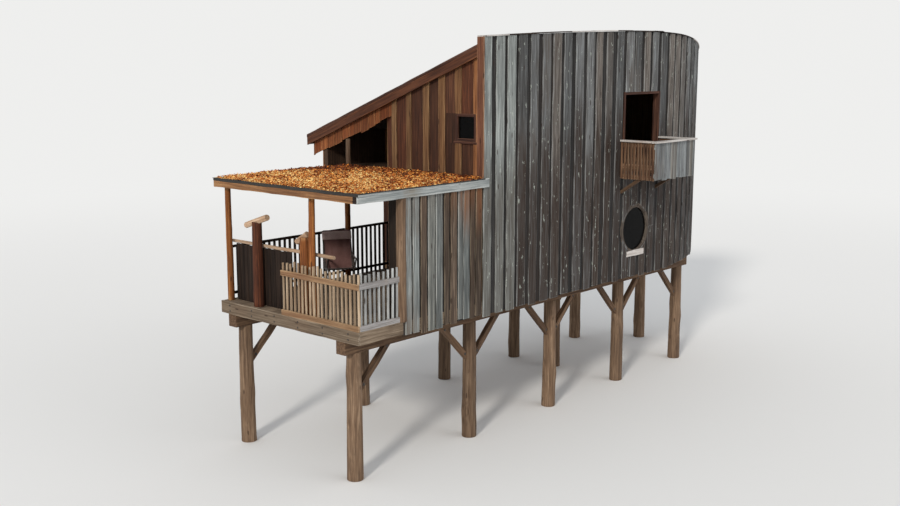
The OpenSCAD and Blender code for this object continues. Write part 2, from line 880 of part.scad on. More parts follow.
module window_glass() {
    side = window_s - 2 * frame_w;
    color("lightblue") place() {
        along_x(gable_x, gable_x + glass_t)
            translate([window_y + frame_w, gable_window_z + frame_w]) square(side);
        for (x = rear_window_x) along_y(back_y - glass_t, back_y)
            translate([x + frame_w, rear_window_z + frame_w]) square(side);
    }
}

// The round window's ring is turned about its own axis: a band in the wall with a wider lip in front
module round_window_frame() {
    hole_r = round_r - frame_w / 2;
    inner_r = round_r - 1.5 * frame_w;
    sill_w = 1.2 * round_r;
    color("slategray") place() translate([round_x, inner_y, round_z]) rotate([90, 0, 0]) union() {
        rotate_extrude($fn = 96) {
            translate([inner_r, 0]) square([hole_r - inner_r, wall_t]);
            translate([inner_r, wall_t]) square([round_r - inner_r, frame_proud]);
        }
        difference() {
            translate([-sill_w / 2, -round_r - sill_h, wall_t])
                cube([sill_w, 2.5 * sill_h, frame_proud + round_sill_proud]);
            cylinder(h = 2 * wall_t, r = round_r - frame_w / 2, $fn = 96);
        }
    }
}

module round_window_glass() {
    color("lightblue") place() translate([round_x, face_y + glass_t, round_z]) rotate([90, 0, 0])
        cylinder(h = glass_t, r = round_r - 1.5 * frame_w, $fn = 96);
}

// Balcony

module balcony_floor() {
    color("tan") place() box([balcony_left + balcony_t, -balcony_out + balcony_t, loft_z - balcony_floor_t],
        [balcony_right - balcony_t, face_y, loft_z]);
}

module balcony_front() {
    color("lightslategray") place() box([balcony_left, -balcony_out, loft_z - balcony_skirt],
        [balcony_right, -balcony_out + balcony_t, rail_z]);
}

// One side of the balcony: upright bars between the front boards and the wall, on two rails
module picket_side(x) {
    bar = balcony_t;
    y0 = -balcony_out + balcony_t;
    z0 = loft_z - balcony_skirt;
    count = floor((face_y - y0 - bar) / (1.25 * bar));
    step = (face_y - y0 - bar) / count;
    for (i = [0:count]) box([x, y0 + i * step, z0], [x + bar, y0 + i * step + bar, rail_z]);
    for (z = [z0, loft_z - balcony_floor_t, rail_z - plank_h])
        box([x + bar / 2, y0, z], [x + bar, face_y, z + plank_h]);
}

module balcony_sides() {
    color("chocolate") place() {
        picket_side(balcony_left);
        picket_side(balcony_right - balcony_t);
    }
}

module balcony_cap() {
    z1 = rail_z + cap_t;
    color("gainsboro") place() union() {
        box([balcony_left - cap_over, front_edge, rail_z],
            [balcony_right + cap_over, front_edge + cap_w, z1]);
        for (x = [balcony_left - cap_over, balcony_right - balcony_t - cap_over])
            box([x, front_edge + cap_w, rail_z], [x + cap_w, face_y, z1]);
    }
}

// A joist under the balcony's floor with a slanting strut down to the wall
module balcony_bracket(x) {
    z1 = loft_z - balcony_floor_t;
    z0 = z1 - bracket_w;
    reach = -balcony_out + balcony_t;
    along_x(x, x + bracket_w) {
        translate([reach, z0]) square([face_y - reach, bracket_w]);
        polygon([[reach + bracket_w, z0], [reach + 2.4 * bracket_w, z0],
            [face_y, z0 - bracket_drop + 1.4 * bracket_w], [face_y, z0 - bracket_drop]]);
    }
}

module balcony_brackets() {
    color("sienna") place() {
        balcony_bracket(balcony_left + balcony_t);
        balcony_bracket(balcony_right - balcony_t - bracket_w);
    }
}

// Chair: a high-backed folding garden chair with crossed legs and a cloth sling

// The chair's side view runs from its front edge backwards and up
joint_r = 0.6 * chair_bar_w;
front_foot = [20, joint_r];
rear_foot = [seat_d + 60, joint_r];
seat_front = [40, seat_h + 40];
seat_back = [40 + seat_d, seat_h - 30];
back_low = seat_back + [20, 40];
back_top = [40 + seat_d + back_run, chair_h - chair_bar_w / 2];

// A flat bar with round ends between two points of the chair's side view
module chair_bar(a, b) {
    d = b - a;
    translate(a) rotate(atan2(d[1], d[0])) translate([0, -chair_bar_w / 2])
        square([norm(d), chair_bar_w]);
    for (end = [a, b]) translate(end) circle(r = joint_r, $fn = 12);
}

module chair_place() {
    place() translate([chair_x, chair_y, deck_z]) rotate([0, 0, chair_turn])
        translate([-chair_w / 2, -(seat_d + back_run) / 2, 0]) children();
}

module chair_side(x) {
    along_x(x, x + chair_bar_w) {
        chair_bar(seat_front, seat_back);
        chair_bar(back_low, back_top);
        chair_bar(seat_back, back_low);
        chair_bar(front_foot, [40 + seat_d, arm_h]);
        chair_bar(rear_foot, [30, arm_h]);
        chair_bar([10, arm_h], [70 + seat_d, arm_h]);
    }
}

module chair_rod(p) {
    translate([chair_bar_w / 2, p[0], p[1]]) rotate([0, 90, 0])
        cylinder(h = chair_w - chair_bar_w, d = 0.8 * chair_bar_w, $fn = 24);
}

module chair_frame() {
    color("dimgray") chair_place() union() {
        for (x = [0, chair_w - chair_bar_w]) chair_side(x);
        for (p = [back_top, seat_front, front_foot, rear_foot]) chair_rod(p);
    }
}

// The cloth sags a little between its bars, as a chain of shallow curves in the side view
module chair_sling() {
    gap = 1;
    lift = chair_bar_w / 2 + gap;
    n = 10;
    seat = [for (i = [0:n]) let (t = i / n)
        seat_front + (seat_back - seat_front) * t + [chair_bar_w, lift - sag * sin(180 * t)]];
    back = [for (i = [1:n]) let (t = i / n)
        back_low + (back_top - back_low) * t + [0.6 * sag * sin(180 * t) - chair_bar_w * t, lift]];
    line = concat(seat, back);
    under = cloth_t * [cos(45), -sin(45)];
    color("rosybrown") chair_place() along_x(chair_bar_w + gap, chair_w - chair_bar_w - gap)
        polygon(concat(line, [for (i = [len(line) - 1:-1:0]) line[i] + under]));
}

stilts();
knee_braces();
main_beams();
floor_joists();
house_floor();
porch_deck();
deck_edge_boards();
porch_posts();
log_posts();
log_post_caps();
handrail_pole();
railing_front();
railing_left();
railing_boarded();
railing_rear();
screen_wall();
screen_corner_log();
porch_rafters();
porch_roof();
porch_fascia_front();
porch_fascia_sides();
roof_litter();
front_wall_left();
front_wall_lower();
front_wall_over_balcony();
end_wall_front();
end_wall_nose();
end_wall_rear();
rear_wall();
terrace_side_wall();
terrace_back_wall();
rounded_corner();
gable_wall_front();
gable_wall_rear();
gable_wall_upper();
niche_floor();
niche_rear_wall();
niche_header();
loft_floor();
main_roof();
roof_edge_boards();
corner_board();
door_frames();
window_frames();
window_glass();
round_window_frame();
round_window_glass();
balcony_floor();
balcony_front();
balcony_sides();
balcony_cap();
balcony_brackets();
chair_frame();
chair_sling();
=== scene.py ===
"""Tree house on stilts: boards, logs, roofing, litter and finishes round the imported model."""
from math import atan, copysign, cos, exp, hypot, pi, radians, sin, sqrt, tan

import bpy
import numpy as np
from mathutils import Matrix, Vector
from numpy.random import default_rng


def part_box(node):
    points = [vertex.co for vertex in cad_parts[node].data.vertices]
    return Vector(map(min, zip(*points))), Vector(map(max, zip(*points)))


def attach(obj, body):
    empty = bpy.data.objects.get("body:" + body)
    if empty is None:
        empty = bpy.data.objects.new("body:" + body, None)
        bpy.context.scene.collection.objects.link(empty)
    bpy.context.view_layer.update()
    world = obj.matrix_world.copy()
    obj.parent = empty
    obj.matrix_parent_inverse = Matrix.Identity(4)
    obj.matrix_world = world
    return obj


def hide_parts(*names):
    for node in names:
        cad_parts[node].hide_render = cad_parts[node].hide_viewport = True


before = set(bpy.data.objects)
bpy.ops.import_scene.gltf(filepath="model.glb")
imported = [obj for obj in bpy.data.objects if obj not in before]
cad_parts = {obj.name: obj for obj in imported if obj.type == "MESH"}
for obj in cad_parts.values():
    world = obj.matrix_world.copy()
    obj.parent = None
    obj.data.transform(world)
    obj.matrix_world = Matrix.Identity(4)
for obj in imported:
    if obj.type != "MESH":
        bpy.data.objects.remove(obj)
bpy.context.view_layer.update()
X, Y, Z = np.eye(3)
TURN = 2 * pi
QUARTER = pi / 2


def low(node):
    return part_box(node)[0]


def high(node):
    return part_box(node)[1]


# Levels, in metres above the ground

DECK_Z = high("porch_deck").z
EDGE_Z = low("deck_edge_boards").z
PORCH_TOP = high("porch_roof").z
PORCH_CEILING = low("porch_roof").z
LOFT_Z = high("loft_floor").z
LOFT_UNDER = low("loft_floor").z
WALL_FOOT = low("front_wall_left").z - 0.03

# House plan: the CAD walls' outer faces, which the boards cover, and the gap where a board meets one

WALL_LEFT = low("front_wall_left").x
FACE_Y = low("front_wall_left").y
WALL_T = high("front_wall_left").y - FACE_Y
BEND_X = high("front_wall_lower").x
REAR_Y = high("rear_wall").y
CLADDING = 0.05
BOARD_Y = FACE_Y - CLADDING
END_R = 5.95
END_TURN = radians(28)
HALF_DEPTH = (REAR_Y - FACE_Y) / 2
MID_Y = (REAR_Y + FACE_Y) / 2
FIT = 0.004
NOSE_R = END_R - (END_R - HALF_DEPTH) / cos(END_TURN)
NOSE_X = BEND_X + (END_R - NOSE_R) * sin(END_TURN)
GABLE_X = low("gable_wall_upper").x
GABLE_FRONT = low("gable_wall_upper").y
CORNER_R = 0.6
CORNER = (low("rounded_corner").x + CORNER_R, high("rounded_corner").y - CORNER_R)
TERRACE_X = low("terrace_side_wall").x
TERRACE_Y = high("terrace_back_wall").y

# Main roof and wall top

ROOF_T = 0.12
ROOF_FRONT = low("main_roof").y
ROOF_BACK = high("main_roof").y
ROOF_RIDGE = high("main_roof").z
SLOPE = tan(radians(21.1))
SLOPE_COS = cos(atan(SLOPE))
DOWN_ROOF = np.array([0, SLOPE_COS, -SLOPE * SLOPE_COS])
OUT_OF_ROOF = np.array([0, SLOPE * SLOPE_COS, SLOPE_COS])
FRONT_RISE = 2.48
CROWN_RISE = 0.19
PARAPET = 0.3


def roof_z(y):
    """Top of the main roof."""
    return ROOF_RIDGE - SLOPE * (y - ROOF_FRONT)


def front_top(x):
    """Top of the front wall, which rises in a slow curve to the right."""
    share = np.clip((x - WALL_LEFT) / (BEND_X - WALL_LEFT), 0, 1)
    return PORCH_TOP + FRONT_RISE + CROWN_RISE * np.sin(share * QUARTER)


# Lines that the cladding follows: a point and its outward direction at a distance along them


def straight(start, end, outward):
    """A straight stretch from start to end."""
    a, b = np.array(start), np.array(end)
    length = np.linalg.norm(b - a)

    def at(s):
        return a + (b - a) * s / length, np.array(outward, float)

    return length, at


def bend(centre, radius, first, last):
    """A stretch round a centre between two angles."""
    length = radius * abs(last - first)

    def at(s):
        angle = first + (last - first) * s / length
        outward = np.array([cos(angle), sin(angle)])
        return np.array(centre) + radius * outward, outward

    return length, at


def chain(*stretches):
    """Joins stretches into one line and returns its length and its function."""
    total = sum(length for length, _ in stretches)

    def at(s):
        for length, stretch in stretches[:-1]:
            if s < length:
                return stretch(s)
            s -= length
        return stretches[-1][1](s)

    return total, at


FRONT_RUN = BEND_X - WALL_LEFT
ROUNDED_END = (
    bend((BEND_X, FACE_Y + END_R), END_R, -QUARTER, -QUARTER + END_TURN),
    bend((NOSE_X, MID_Y), NOSE_R, -QUARTER + END_TURN, QUARTER - END_TURN),
    bend((BEND_X, REAR_Y - END_R), END_R, QUARTER - END_TURN, QUARTER),
)
REAR_START = FRONT_RUN + sum(length for length, _ in ROUNDED_END)
WALL_LENGTH, wall_line = chain(
    straight((WALL_LEFT, FACE_Y), (BEND_X, FACE_Y), (0, -1)),
    *ROUNDED_END,
    straight((BEND_X, REAR_Y), (TERRACE_X, REAR_Y), (0, 1)),
)
GABLE_RUN = CORNER[1] - GABLE_FRONT
GABLE_LENGTH, gable_line = chain(
    straight((GABLE_X, GABLE_FRONT), (GABLE_X, CORNER[1]), (-1, 0)),
    bend(CORNER, CORNER_R, pi, QUARTER),
    straight((CORNER[0], TERRACE_Y), (TERRACE_X, TERRACE_Y), (0, 1)),
)
TERRACE_LENGTH, terrace_line = straight((TERRACE_X, TERRACE_Y), (TERRACE_X, REAR_Y), (-1, 0))
NICHE_LENGTH, niche_line = straight((GABLE_X, REAR_Y), (TERRACE_X, REAR_Y), (0, 1))


def wall_top(s):
    """Top of the tall wall's boards at a distance along it."""
    point, _ = wall_line(s)
    if s < FRONT_RUN:
        return front_top(point[0])
    if s < REAR_START:
        return roof_z(point[1] + CLADDING) + PARAPET
    return roof_z(REAR_Y + CLADDING) - ROOF_T - FIT


# Meshes: solids are collected as arrays and joined into one piece


class Piece:
    """Solids with their grain direction, tone and wear, joined into one mesh."""

    def __init__(self):
        self.points, self.grain, self.tone, self.wear, self.faces = [], [], [], [], []
        self.count = 0

    def add(self, points, faces, grain, tone=0.5, wear=0.0):
        self.points.append(points)
        self.grain.append(grain)
        self.tone.append(np.broadcast_to(tone, len(points)))
        self.wear.append(np.broadcast_to(wear, len(points)))
        self.faces.extend([[i + self.count for i in face] for face in faces])
        self.count += len(points)

    def sweep(self, rings, grain, tone=0.5, wear=0.0, flip=False):
        """A solid between rings of points, closed at both ends."""
        count, around = rings.shape[:2]
        i = np.arange(count - 1)[:, None] * around
        j = np.arange(around)[None, :]
        k = (j + 1) % around
        faces = np.stack([i + j, i + k, i + k + around, i + j + around], -1).reshape(-1, 4).tolist()
        faces.append(list(range(around))[::-1])
        faces.append(list(range((count - 1) * around, count * around)))
        if flip:
            faces = [face[::-1] for face in faces]
        self.add(rings.reshape(-1, 3), faces, grain.reshape(-1, 3), tone, wear)

    def build(self, name, finish, slot, replaces=(), crease=35):
        """One mesh on the body root, sharp where it turns by more than the crease in degrees."""
        mesh = bpy.data.meshes.new(name)
        mesh.from_pydata(np.concatenate(self.points).tolist(), [], self.faces)
        for key, kind, field in (
            ("grain", "FLOAT_VECTOR", "vector"),
            ("tone", "FLOAT", "value"),
            ("wear", "FLOAT", "value"),
        ):
            values = np.concatenate(getattr(self, key)).ravel()
            mesh.attributes.new(key, kind, "POINT").data.foreach_set(field, values)
        mesh.materials.append(finish)
        mesh.shade_smooth()
        mesh.set_sharp_from_angle(angle=radians(crease))
        piece = bpy.data.objects.new(name, mesh)
        bpy.context.collection.objects.link(piece)
        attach(piece, "root")
        if replaces:
            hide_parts(*replaces)
        return piece


def ripple(z, rng, length, amount):
    """A slow uneven wave along z."""
    first, second, third = rng.uniform(0, TURN, 3)
    k = TURN / length
    wave = np.sin(k * z + first) + 0.5 * np.sin(2.3 * k * z + second)
    return amount * (wave + 0.3 * np.sin(5.1 * k * z + third)) / 1.5


def at_x(limit, x):
    """A board's end as heights across it, from a number or a function."""
    if callable(limit):
        return np.array([limit(value) for value in x])
    return np.full(len(x), float(limit))


def board(piece, place, width, thick, start, end, rng,
          wane=0.003, step=0.35, columns=2, tone=None, bevel=0.004):
    """A sawn board with worn edges. place is its origin and its across, outward and long directions."""
    base, across, out, along = (np.array(v, float) for v in place)
    half = width / 2
    chamfer = min(bevel, thick / 4, half / 4)
    border = min(0.014, half / 2)
    inner = np.linspace(border - half, half - border, columns + 2)
    face = np.concatenate([[chamfer - half], inner, [half - chamfer]])
    x = np.concatenate([[-half, -half], face, [half, half]])
    crown = rng.uniform(-0.0015, 0.0015) * (1 - (face / half) ** 2)
    y = np.concatenate([[0, thick - chamfer], thick + crown, [thick - chamfer, 0]])
    worn = np.concatenate([[1, 1, 1], np.zeros(len(inner)), [1, 1, 1]])
    low_end, high_end = at_x(start, x), at_x(end, x)
    reach = max(high_end.max() - low_end.min(), 0.01)
    rings = max(1, round(reach / step))
    rim = min(0.012 / reach, 0.2)
    share = np.concatenate([[0], np.linspace(rim, 1 - rim, rings + 1), [1]])[:, None]
    z = low_end + (high_end - low_end) * share
    side = (x + half) / width
    left = ripple(z, rng, 0.9, wane)
    right = ripple(z, rng, 0.9, wane)
    x = x + left * (1 - side) + right * side
    y = y + ripple(z, rng, 1.7, 0.0012) * (y > 0)
    rings = base + x[..., None] * across + y[..., None] * out + z[..., None] * along
    pith = [rng.uniform(-0.12, 0.12), rng.uniform(0.03, 0.2), rng.uniform(0, 40)]
    grain = np.stack([x + pith[0], y + pith[1], z + pith[2]], -1)
    wear = np.broadcast_to(worn, z.shape).copy()
    wear[[0, -1]] = 1
    turned = np.linalg.det(np.array([across, out, along])) > 0
    piece.sweep(rings, grain, rng.random() if tone is None else tone, wear.ravel(), turned)


# How boards are cut: how far their edges wander, the distance between their sections, and the bevel

PLANED = (0.001, 0.3)
SAWN = (0.002, 0.35)
TRIMMED = (0.003, 0.15)
TIMBER_CUT = (0.003, 0.25)
RIM_CUT = (0.004, 0.2)
LATH_CUT = (0.004, 0.12)
FOLDED = (0.005, 0.12, 3)
WANEY = 0.007
EASED = 0.006


def draw(rng, size):
    """A number, or one drawn from a range."""
    return rng.uniform(*size) if isinstance(size, tuple) else size


def courses(rng, start, end, widths, gaps=0.0, least=0.03):
    """Middle and width of each board from start to end, side by side."""
    at = start
    while at < end - least:
        width = min(draw(rng, widths), end - at)
        yield at + width / 2, width
        at += width + draw(rng, gaps)


def log(piece, start, end, r0, r1, rng, around=18, step=0.15, rough=0.025, sway=0.01, knots=3, tone=None):
    """A round pole between two points, with low knots, a drying crack and a slight sway."""
    start, end = np.array(start, float), np.array(end, float)
    length = np.linalg.norm(end - start)
    axis = (end - start) / length
    side = np.cross(axis, [0.3, 0.9, 0.1] if abs(axis[2]) > 0.7 else [0.1, 0.2, 1])
    side /= np.linalg.norm(side)
    up = np.cross(axis, side)
    bevel = min(0.008, length / 8)
    count = max(2, round(length / step)) + 1
    z = np.concatenate([[0], np.linspace(bevel, length - bevel, count), [length]])[:, None]
    crack = rng.uniform(0, TURN)
    angles = np.linspace(0, TURN, around, endpoint=False)
    gap = np.abs((angles - crack + pi) % TURN - pi)
    angles = angles[gap > 0.12]
    angles = np.sort(np.concatenate([angles, (crack + np.array([-0.09, 0, 0.09])) % TURN]))
    shape = np.ones((len(z), len(angles)))
    for lobes in range(2, 6):
        shape += rough / lobes * np.cos(lobes * angles + rng.uniform(0, 6) + rng.uniform(-1, 1) * z)
    for _ in range(knots):
        turn = (angles - rng.uniform(0, TURN) + pi) % TURN - pi
        rise = (z - rng.uniform(0.1, 0.9) * length) / (1.1 * r0)
        shape += rng.uniform(0.05, 0.12) * np.exp(-(turn**2) / 0.15 - rise**2)
    split = np.isclose(angles, crack % TURN)
    shape -= 0.10 * split * np.clip(0.4 + ripple(z, rng, 1.3, 1.0), 0, 1)
    radius = (r0 + (r1 - r0) * z / length) * shape
    radius[[0, -1]] *= 0.96
    arch = np.sin(pi * z / length)
    shift_x = sway * rng.uniform(-1, 1) * arch + ripple(z, rng, 1.6, sway * 0.3) * arch
    shift_y = sway * rng.uniform(-1, 1) * arch + ripple(z, rng, 1.6, sway * 0.3) * arch
    x, y = radius * np.cos(angles), radius * np.sin(angles)
    rings = start + (x + shift_x)[..., None] * side + (y + shift_y)[..., None] * up
    rings = rings + (z + 0 * x)[..., None] * axis
    grain = np.stack([x, y, z + 0 * x + rng.uniform(0, 40)], -1)
    wear = np.zeros(x.shape)
    wear[[0, 1, -2, -1]] = 1
    piece.sweep(rings, grain, rng.random() if tone is None else tone, wear.ravel())


def post(piece, spot, foot, top, *shape):
    """An upright log."""
    log(piece, (*spot, foot), (*spot, top), *shape)


def circle_facing(out, count, radius):
    """Points round a circle that faces a direction."""
    side = np.cross(out, Z if abs(out[2]) < 0.9 else X)
    side /= np.linalg.norm(side)
    turn = np.linspace(0, TURN, count, endpoint=False)[:, None]
    return (side * np.cos(turn) + np.cross(out, side) * np.sin(turn)) * radius


def stud(piece, point, out, radius=0.0045, proud=0.002):
    """A nail head on a board's face."""
    ring = circle_facing(out, 6, radius)
    rings = np.array([point + ring, point + out * proud + ring * 0.7])
    piece.sweep(rings, rings)


def bolt(piece, point, out, radius=0.016):
    """A hexagonal bolt head on a washer."""
    point = np.array(point, float)
    for count, r, foot, top in ((16, 1.7 * radius, -0.004, 0.003), (6, radius, 0.003, 0.012)):
        ring = circle_facing(out, count, r)
        shoulder, crown = point + out * (top - 0.0015) + ring, point + out * top + ring * 0.9
        rings = np.array([point + out * foot + ring, shoulder, crown])
        piece.sweep(rings, rings)


# Finishes: procedural materials


def rgb(*color):
    """An sRGB colour in 0 to 255, as Blender's linear colour."""
    srgb = np.array(color) / 255
    linear = np.where(srgb < 0.04045, srgb / 12.92, ((srgb + 0.055) / 1.055) ** 2.4)
    return (*linear.tolist(), 1.0)


class Finish:
    """A material's node tree, with short calls for the nodes that the finishes share."""

    def __init__(self, name):
        self.material = bpy.data.materials.new(name)
        self.material.use_nodes = True
        self.tree = self.material.node_tree
        self.shader = self.tree.nodes["Principled BSDF"]

    def feed(self, socket, value):
        """Links an input or sets it. Three numbers for a colour are sRGB, four are linear."""
        if isinstance(value, bpy.types.NodeSocket):
            self.tree.links.new(value, socket)
        elif socket.type == "RGBA" and len(value) == 3:
            socket.default_value = rgb(*value)
        else:
            socket.default_value = value

    def node(self, kind, inputs=(), **settings):
        made = self.tree.nodes.new("ShaderNode" + kind)
        for key, value in settings.items():
            setattr(made, key, value)
        for key, value in dict(inputs).items():
            self.feed(made.inputs[key], value)
        return made

    def set(self, **values):
        for key, value in values.items():
            self.feed(self.shader.inputs[key.replace("_", " ")], value)

    def place(self):
        return self.node("TexCoord").outputs["Object"]

    def attribute(self, name, output="Fac"):
        return self.node("Attribute", attribute_name=name).outputs[output]

    def stretch(self, vector, scale):
        return self.node("VectorMath", {0: vector, 1: scale}, operation="MULTIPLY").outputs[0]

    def noise(self, vector, scale, detail=4.0, rough=0.55):
        inputs = {"Vector": self.stretch(vector, scale), "Scale": 1.0, "Detail": detail, "Roughness": rough}
        return self.node("TexNoise", inputs).outputs["Fac"]

    def math(self, operation, a, b=0.0):
        return self.node("Math", {0: a, 1: b}, operation=operation).outputs[0]

    def plus(self, a, b):
        return self.math("ADD", a, b)

    def times(self, a, b):
        return self.math("MULTIPLY", a, b)

    def remap(self, value, first, last, to_first=0.0, to_last=1.0):
        """A smooth step from one pair of values to another."""
        inputs = {0: value, 1: first, 2: last, 3: to_first, 4: to_last}
        return self.node("MapRange", inputs, interpolation_type="SMOOTHSTEP").outputs[0]

    def mix(self, share, a, b, blend="MIX"):
        return self.node("Mix", {0: share, 6: a, 7: b}, data_type="RGBA", blend_type=blend).outputs[2]

    def ramp(self, value, *stops):
        made = self.node("ValToRGB", {0: value})
        elements = made.color_ramp.elements
        elements.remove(elements[1])
        elements[0].position, elements[0].color = stops[0][0], rgb(*stops[0][1])
        for place, color in stops[1:]:
            elements.new(place).color = rgb(*color)
        return made.outputs[0]

    def bump(self, height, strength, distance):
        inputs = {"Height": height, "Strength": strength, "Distance": distance}
        return self.node("Bump", inputs).outputs[0]

    def split(self, vector):
        return self.node("SeparateXYZ", {0: vector}).outputs

    def varied(self, factor):
        """A number from 0 to 1 that differs from board to board."""
        return self.math("FRACT", self.times(self.attribute("tone"), factor))

    def planks(self, place, run):
        """A tone for each plank across an axis, and the dark joints between the planks."""
        count = self.math("DIVIDE", self.split(place)["XYZ".index(run)], PLANK_W)
        number = self.math("FLOOR", count)
        tone = self.node("TexWhiteNoise", {"W": number}, noise_dimensions="1D").outputs["Value"]
        edge = self.math("ABSOLUTE", self.math("SUBTRACT", self.math("FRACT", count), 0.5))
        return tone, self.remap(edge, 0.47, 0.49)

    def along(self, axis):
        """Coordinates whose third number runs with the grain: a piece's own, or a node's along an axis."""
        if axis is None:
            return self.attribute("grain", "Vector")
        parts = self.split(self.place())
        order = {"X": (1, 2, 0), "Y": (0, 2, 1), "Z": (0, 1, 2)}[axis]
        return self.node("CombineXYZ", {i: parts[j] for i, j in enumerate(order)}).outputs[0]


def grain_marks(f, grain):
    """Streaks, fibres, growth rings, cracks and knots, each as a value from 0 to 1."""
    streak = f.noise(grain, (34, 34, 1.3), 6.0, 0.62)
    fibre = f.noise(grain, (260, 260, 7), 3.0, 0.6)
    wave = {"Vector": f.stretch(grain, (1, 1, 0.12)), "Scale": 34.0, "Distortion": 3.5, "Detail": 2.0}
    rings = f.node("TexWave", wave, wave_type="RINGS", rings_direction="Z").outputs["Fac"]
    crack = f.remap(f.noise(grain, (120, 120, 1.1), 2.0, 0.4), 0.67, 0.72)
    cell = f.node("TexVoronoi", {"Vector": f.stretch(grain, (6.5, 6.5, 1.7)), "Scale": 1.0})
    knot = f.remap(cell.outputs["Distance"], 0.11, 0.07)
    return streak, fibre, rings, crack, knot


def per_board(f, color, tint, spread):
    """Lightness and hue that differ from board to board."""
    level = f.remap(f.varied(7.31), 0.0, 1.0, *spread)
    shade = f.node("CombineColor", {0: level, 1: level, 2: level}).outputs[0]
    color = f.mix(1.0, color, shade, "MULTIPLY")
    if tint:
        share = f.remap(f.varied(3.77), 0.5, 0.95, 0.0, 0.6)
        color = f.mix(share, color, f.mix(1.0, color, tint, "MULTIPLY"))
    return color


def board_shift(f, amount):
    """A distance that differs from board to board."""
    return f.remap(f.varied(13.7), 0.0, 1.0, -amount, amount)


def below(level, share):
    """A zone below a level, which starts at its own height on each board."""

    def zone(f, place, streak):
        uneven = f.times(f.noise(place, (3.0, 3.0, 0.5), 5.0), 1.2)
        height = f.plus(f.plus(f.split(place)[2], uneven), board_shift(f, 0.5))
        depth = f.remap(height, level + 1.4, level + 0.2)
        return f.times(depth, f.remap(streak, 0.3, 0.62, share, 0.68 * share))

    return zone


def upper_right(x0, x1, z0, z1, share):
    """A zone that grows upwards and to the right."""

    def zone(f, place, streak):
        x, _, z = f.split(place)
        across = f.remap(f.plus(x, board_shift(f, 0.2)), x0, x1)
        up = f.remap(f.plus(z, board_shift(f, 0.3)), z0, z1)
        return f.times(f.times(across, up), f.remap(streak, 0.3, 0.65, share, 0.5 * share))

    return zone


PLANK_W = 0.14
LICHEN = (176, 182, 172)
KNOT = (46, 30, 22)
CRACK = (22, 18, 16)


def wood(name, dark, mid, pale, stain, stained=0.4, edge=None, axis=None, run=None,
         tint=None, zones=(), lichen=0.0, spread=(0.74, 1.2)):
    """Weathered wood: grain, cracks, knots, stains, pale worn edges that are partly a painted highlight, and
    a tone for each board.
    """
    f = Finish(name)
    place = f.place()
    streak, fibre, rings, crack, knot = grain_marks(f, f.along(axis))
    color = f.ramp(streak, (0.3, dark), (0.5, mid), (0.7, pale))
    color = f.mix(f.remap(rings, 0.0, 1.0, 0.0, 0.28), color, dark)
    if axis is None:
        color = per_board(f, color, tint, spread)
    patch = f.noise(place, (0.9, 0.9, 0.35), 5.0, 0.6)
    share = f.remap(patch, 0.62 - 0.3 * stained, 0.78 - 0.3 * stained, 0.0, 0.8)
    color = f.mix(share, color, f.mix(f.remap(streak, 0.3, 0.7), stain, mid))
    for zone, shade in zones:
        color = f.mix(zone(f, place, streak), color, shade)
    if run:
        tone, joint = f.planks(place, run)
        color = f.mix(f.remap(tone, 0.0, 1.0, 0.0, 0.5), color, stain)
        crack = f.math("MAXIMUM", crack, joint)
    color = f.mix(f.remap(fibre, 0.35, 0.65, 0.35, 0.0), color, dark)
    # Pale worn edges: partly wear, partly a painted highlight along the board edges.
    if edge and axis is None:
        worn = f.times(f.attribute("wear"), f.remap(streak, 0.4, 0.62, 0.05, 0.5))
        color = f.mix(worn, color, edge)
    if lichen:
        spots = f.noise(place, (15, 15, 5.5), 6.0, 0.68)
        color = f.mix(f.remap(spots, 0.66 - lichen, 0.7 - lichen, 0.0, 0.8), color, LICHEN)
    color = f.mix(f.times(knot, 0.75), color, KNOT)
    color = f.mix(f.times(crack, 0.8), color, CRACK)
    height = f.plus(f.times(streak, 0.6), f.times(fibre, 0.25))
    height = f.plus(height, f.times(rings, 0.12))
    height = f.math("SUBTRACT", height, f.times(crack, 0.8))
    f.set(Base_Color=color, Roughness=f.remap(fibre, 0.3, 0.7, 0.72, 0.9))
    f.set(Normal=f.bump(height, 0.75, 0.006), Specular_IOR_Level=0.25)
    return f.material


# Woods: dark, middle and pale streaks, stain and how stained, then worn edges (pale, partly painted
# highlight) and the rest

SCREEN_X = low("screen_wall").x
# Painted sunlight: a warm orange patch that grows towards the upper right of the screen, mixed into both
# screen woods.
SCREEN_PAINTED_SUNLIGHT = upper_right(SCREEN_X + 0.3, WALL_LEFT - 0.2, PORCH_CEILING - 0.9, PORCH_CEILING, 0.85)
BLEACHED = wood("bleached_boards", (94, 97, 95), (143, 147, 144), (188, 193, 188), (124, 118, 108), 0.2,
                (196, 200, 196), zones=((below(PORCH_TOP - 0.5, 0.85), (80, 71, 62)),), lichen=0.04,
                spread=(0.86, 1.1))
SILVER = wood("silver_boards", (62, 61, 60), (104, 104, 103), (150, 154, 156), (88, 76, 66), 0.4,
              (166, 168, 167), tint=(236, 204, 176), zones=((below(LOFT_Z + 0.5, 1.0), (44, 27, 15)),),
              lichen=0.04, spread=(0.52, 1.34))
GREY = wood("grey_boards", (78, 80, 81), (120, 123, 124), (158, 162, 162), (106, 90, 76), 0.4,
            (178, 181, 178), tint=(224, 196, 168), spread=(0.66, 1.2))
SHADOW = wood("shadow_boards", (24, 23, 23), (46, 44, 43), (74, 71, 69), (50, 40, 34), 0.5)
BROWN = wood("brown_boards", (46, 28, 20), (84, 52, 36), (120, 79, 55), (60, 40, 31), 0.45,
             tint=(255, 218, 190), spread=(0.54, 1.28))
STRIP = wood("cover_strips", (88, 60, 40), (138, 102, 68), (176, 138, 96), (98, 62, 42), 0.4,
             (186, 150, 108), tint=(255, 206, 170), spread=(0.6, 1.28))
TAN = wood("tan_boards", (112, 82, 58), (156, 122, 90), (188, 154, 118), (118, 82, 58), 0.4, (196, 166, 130))
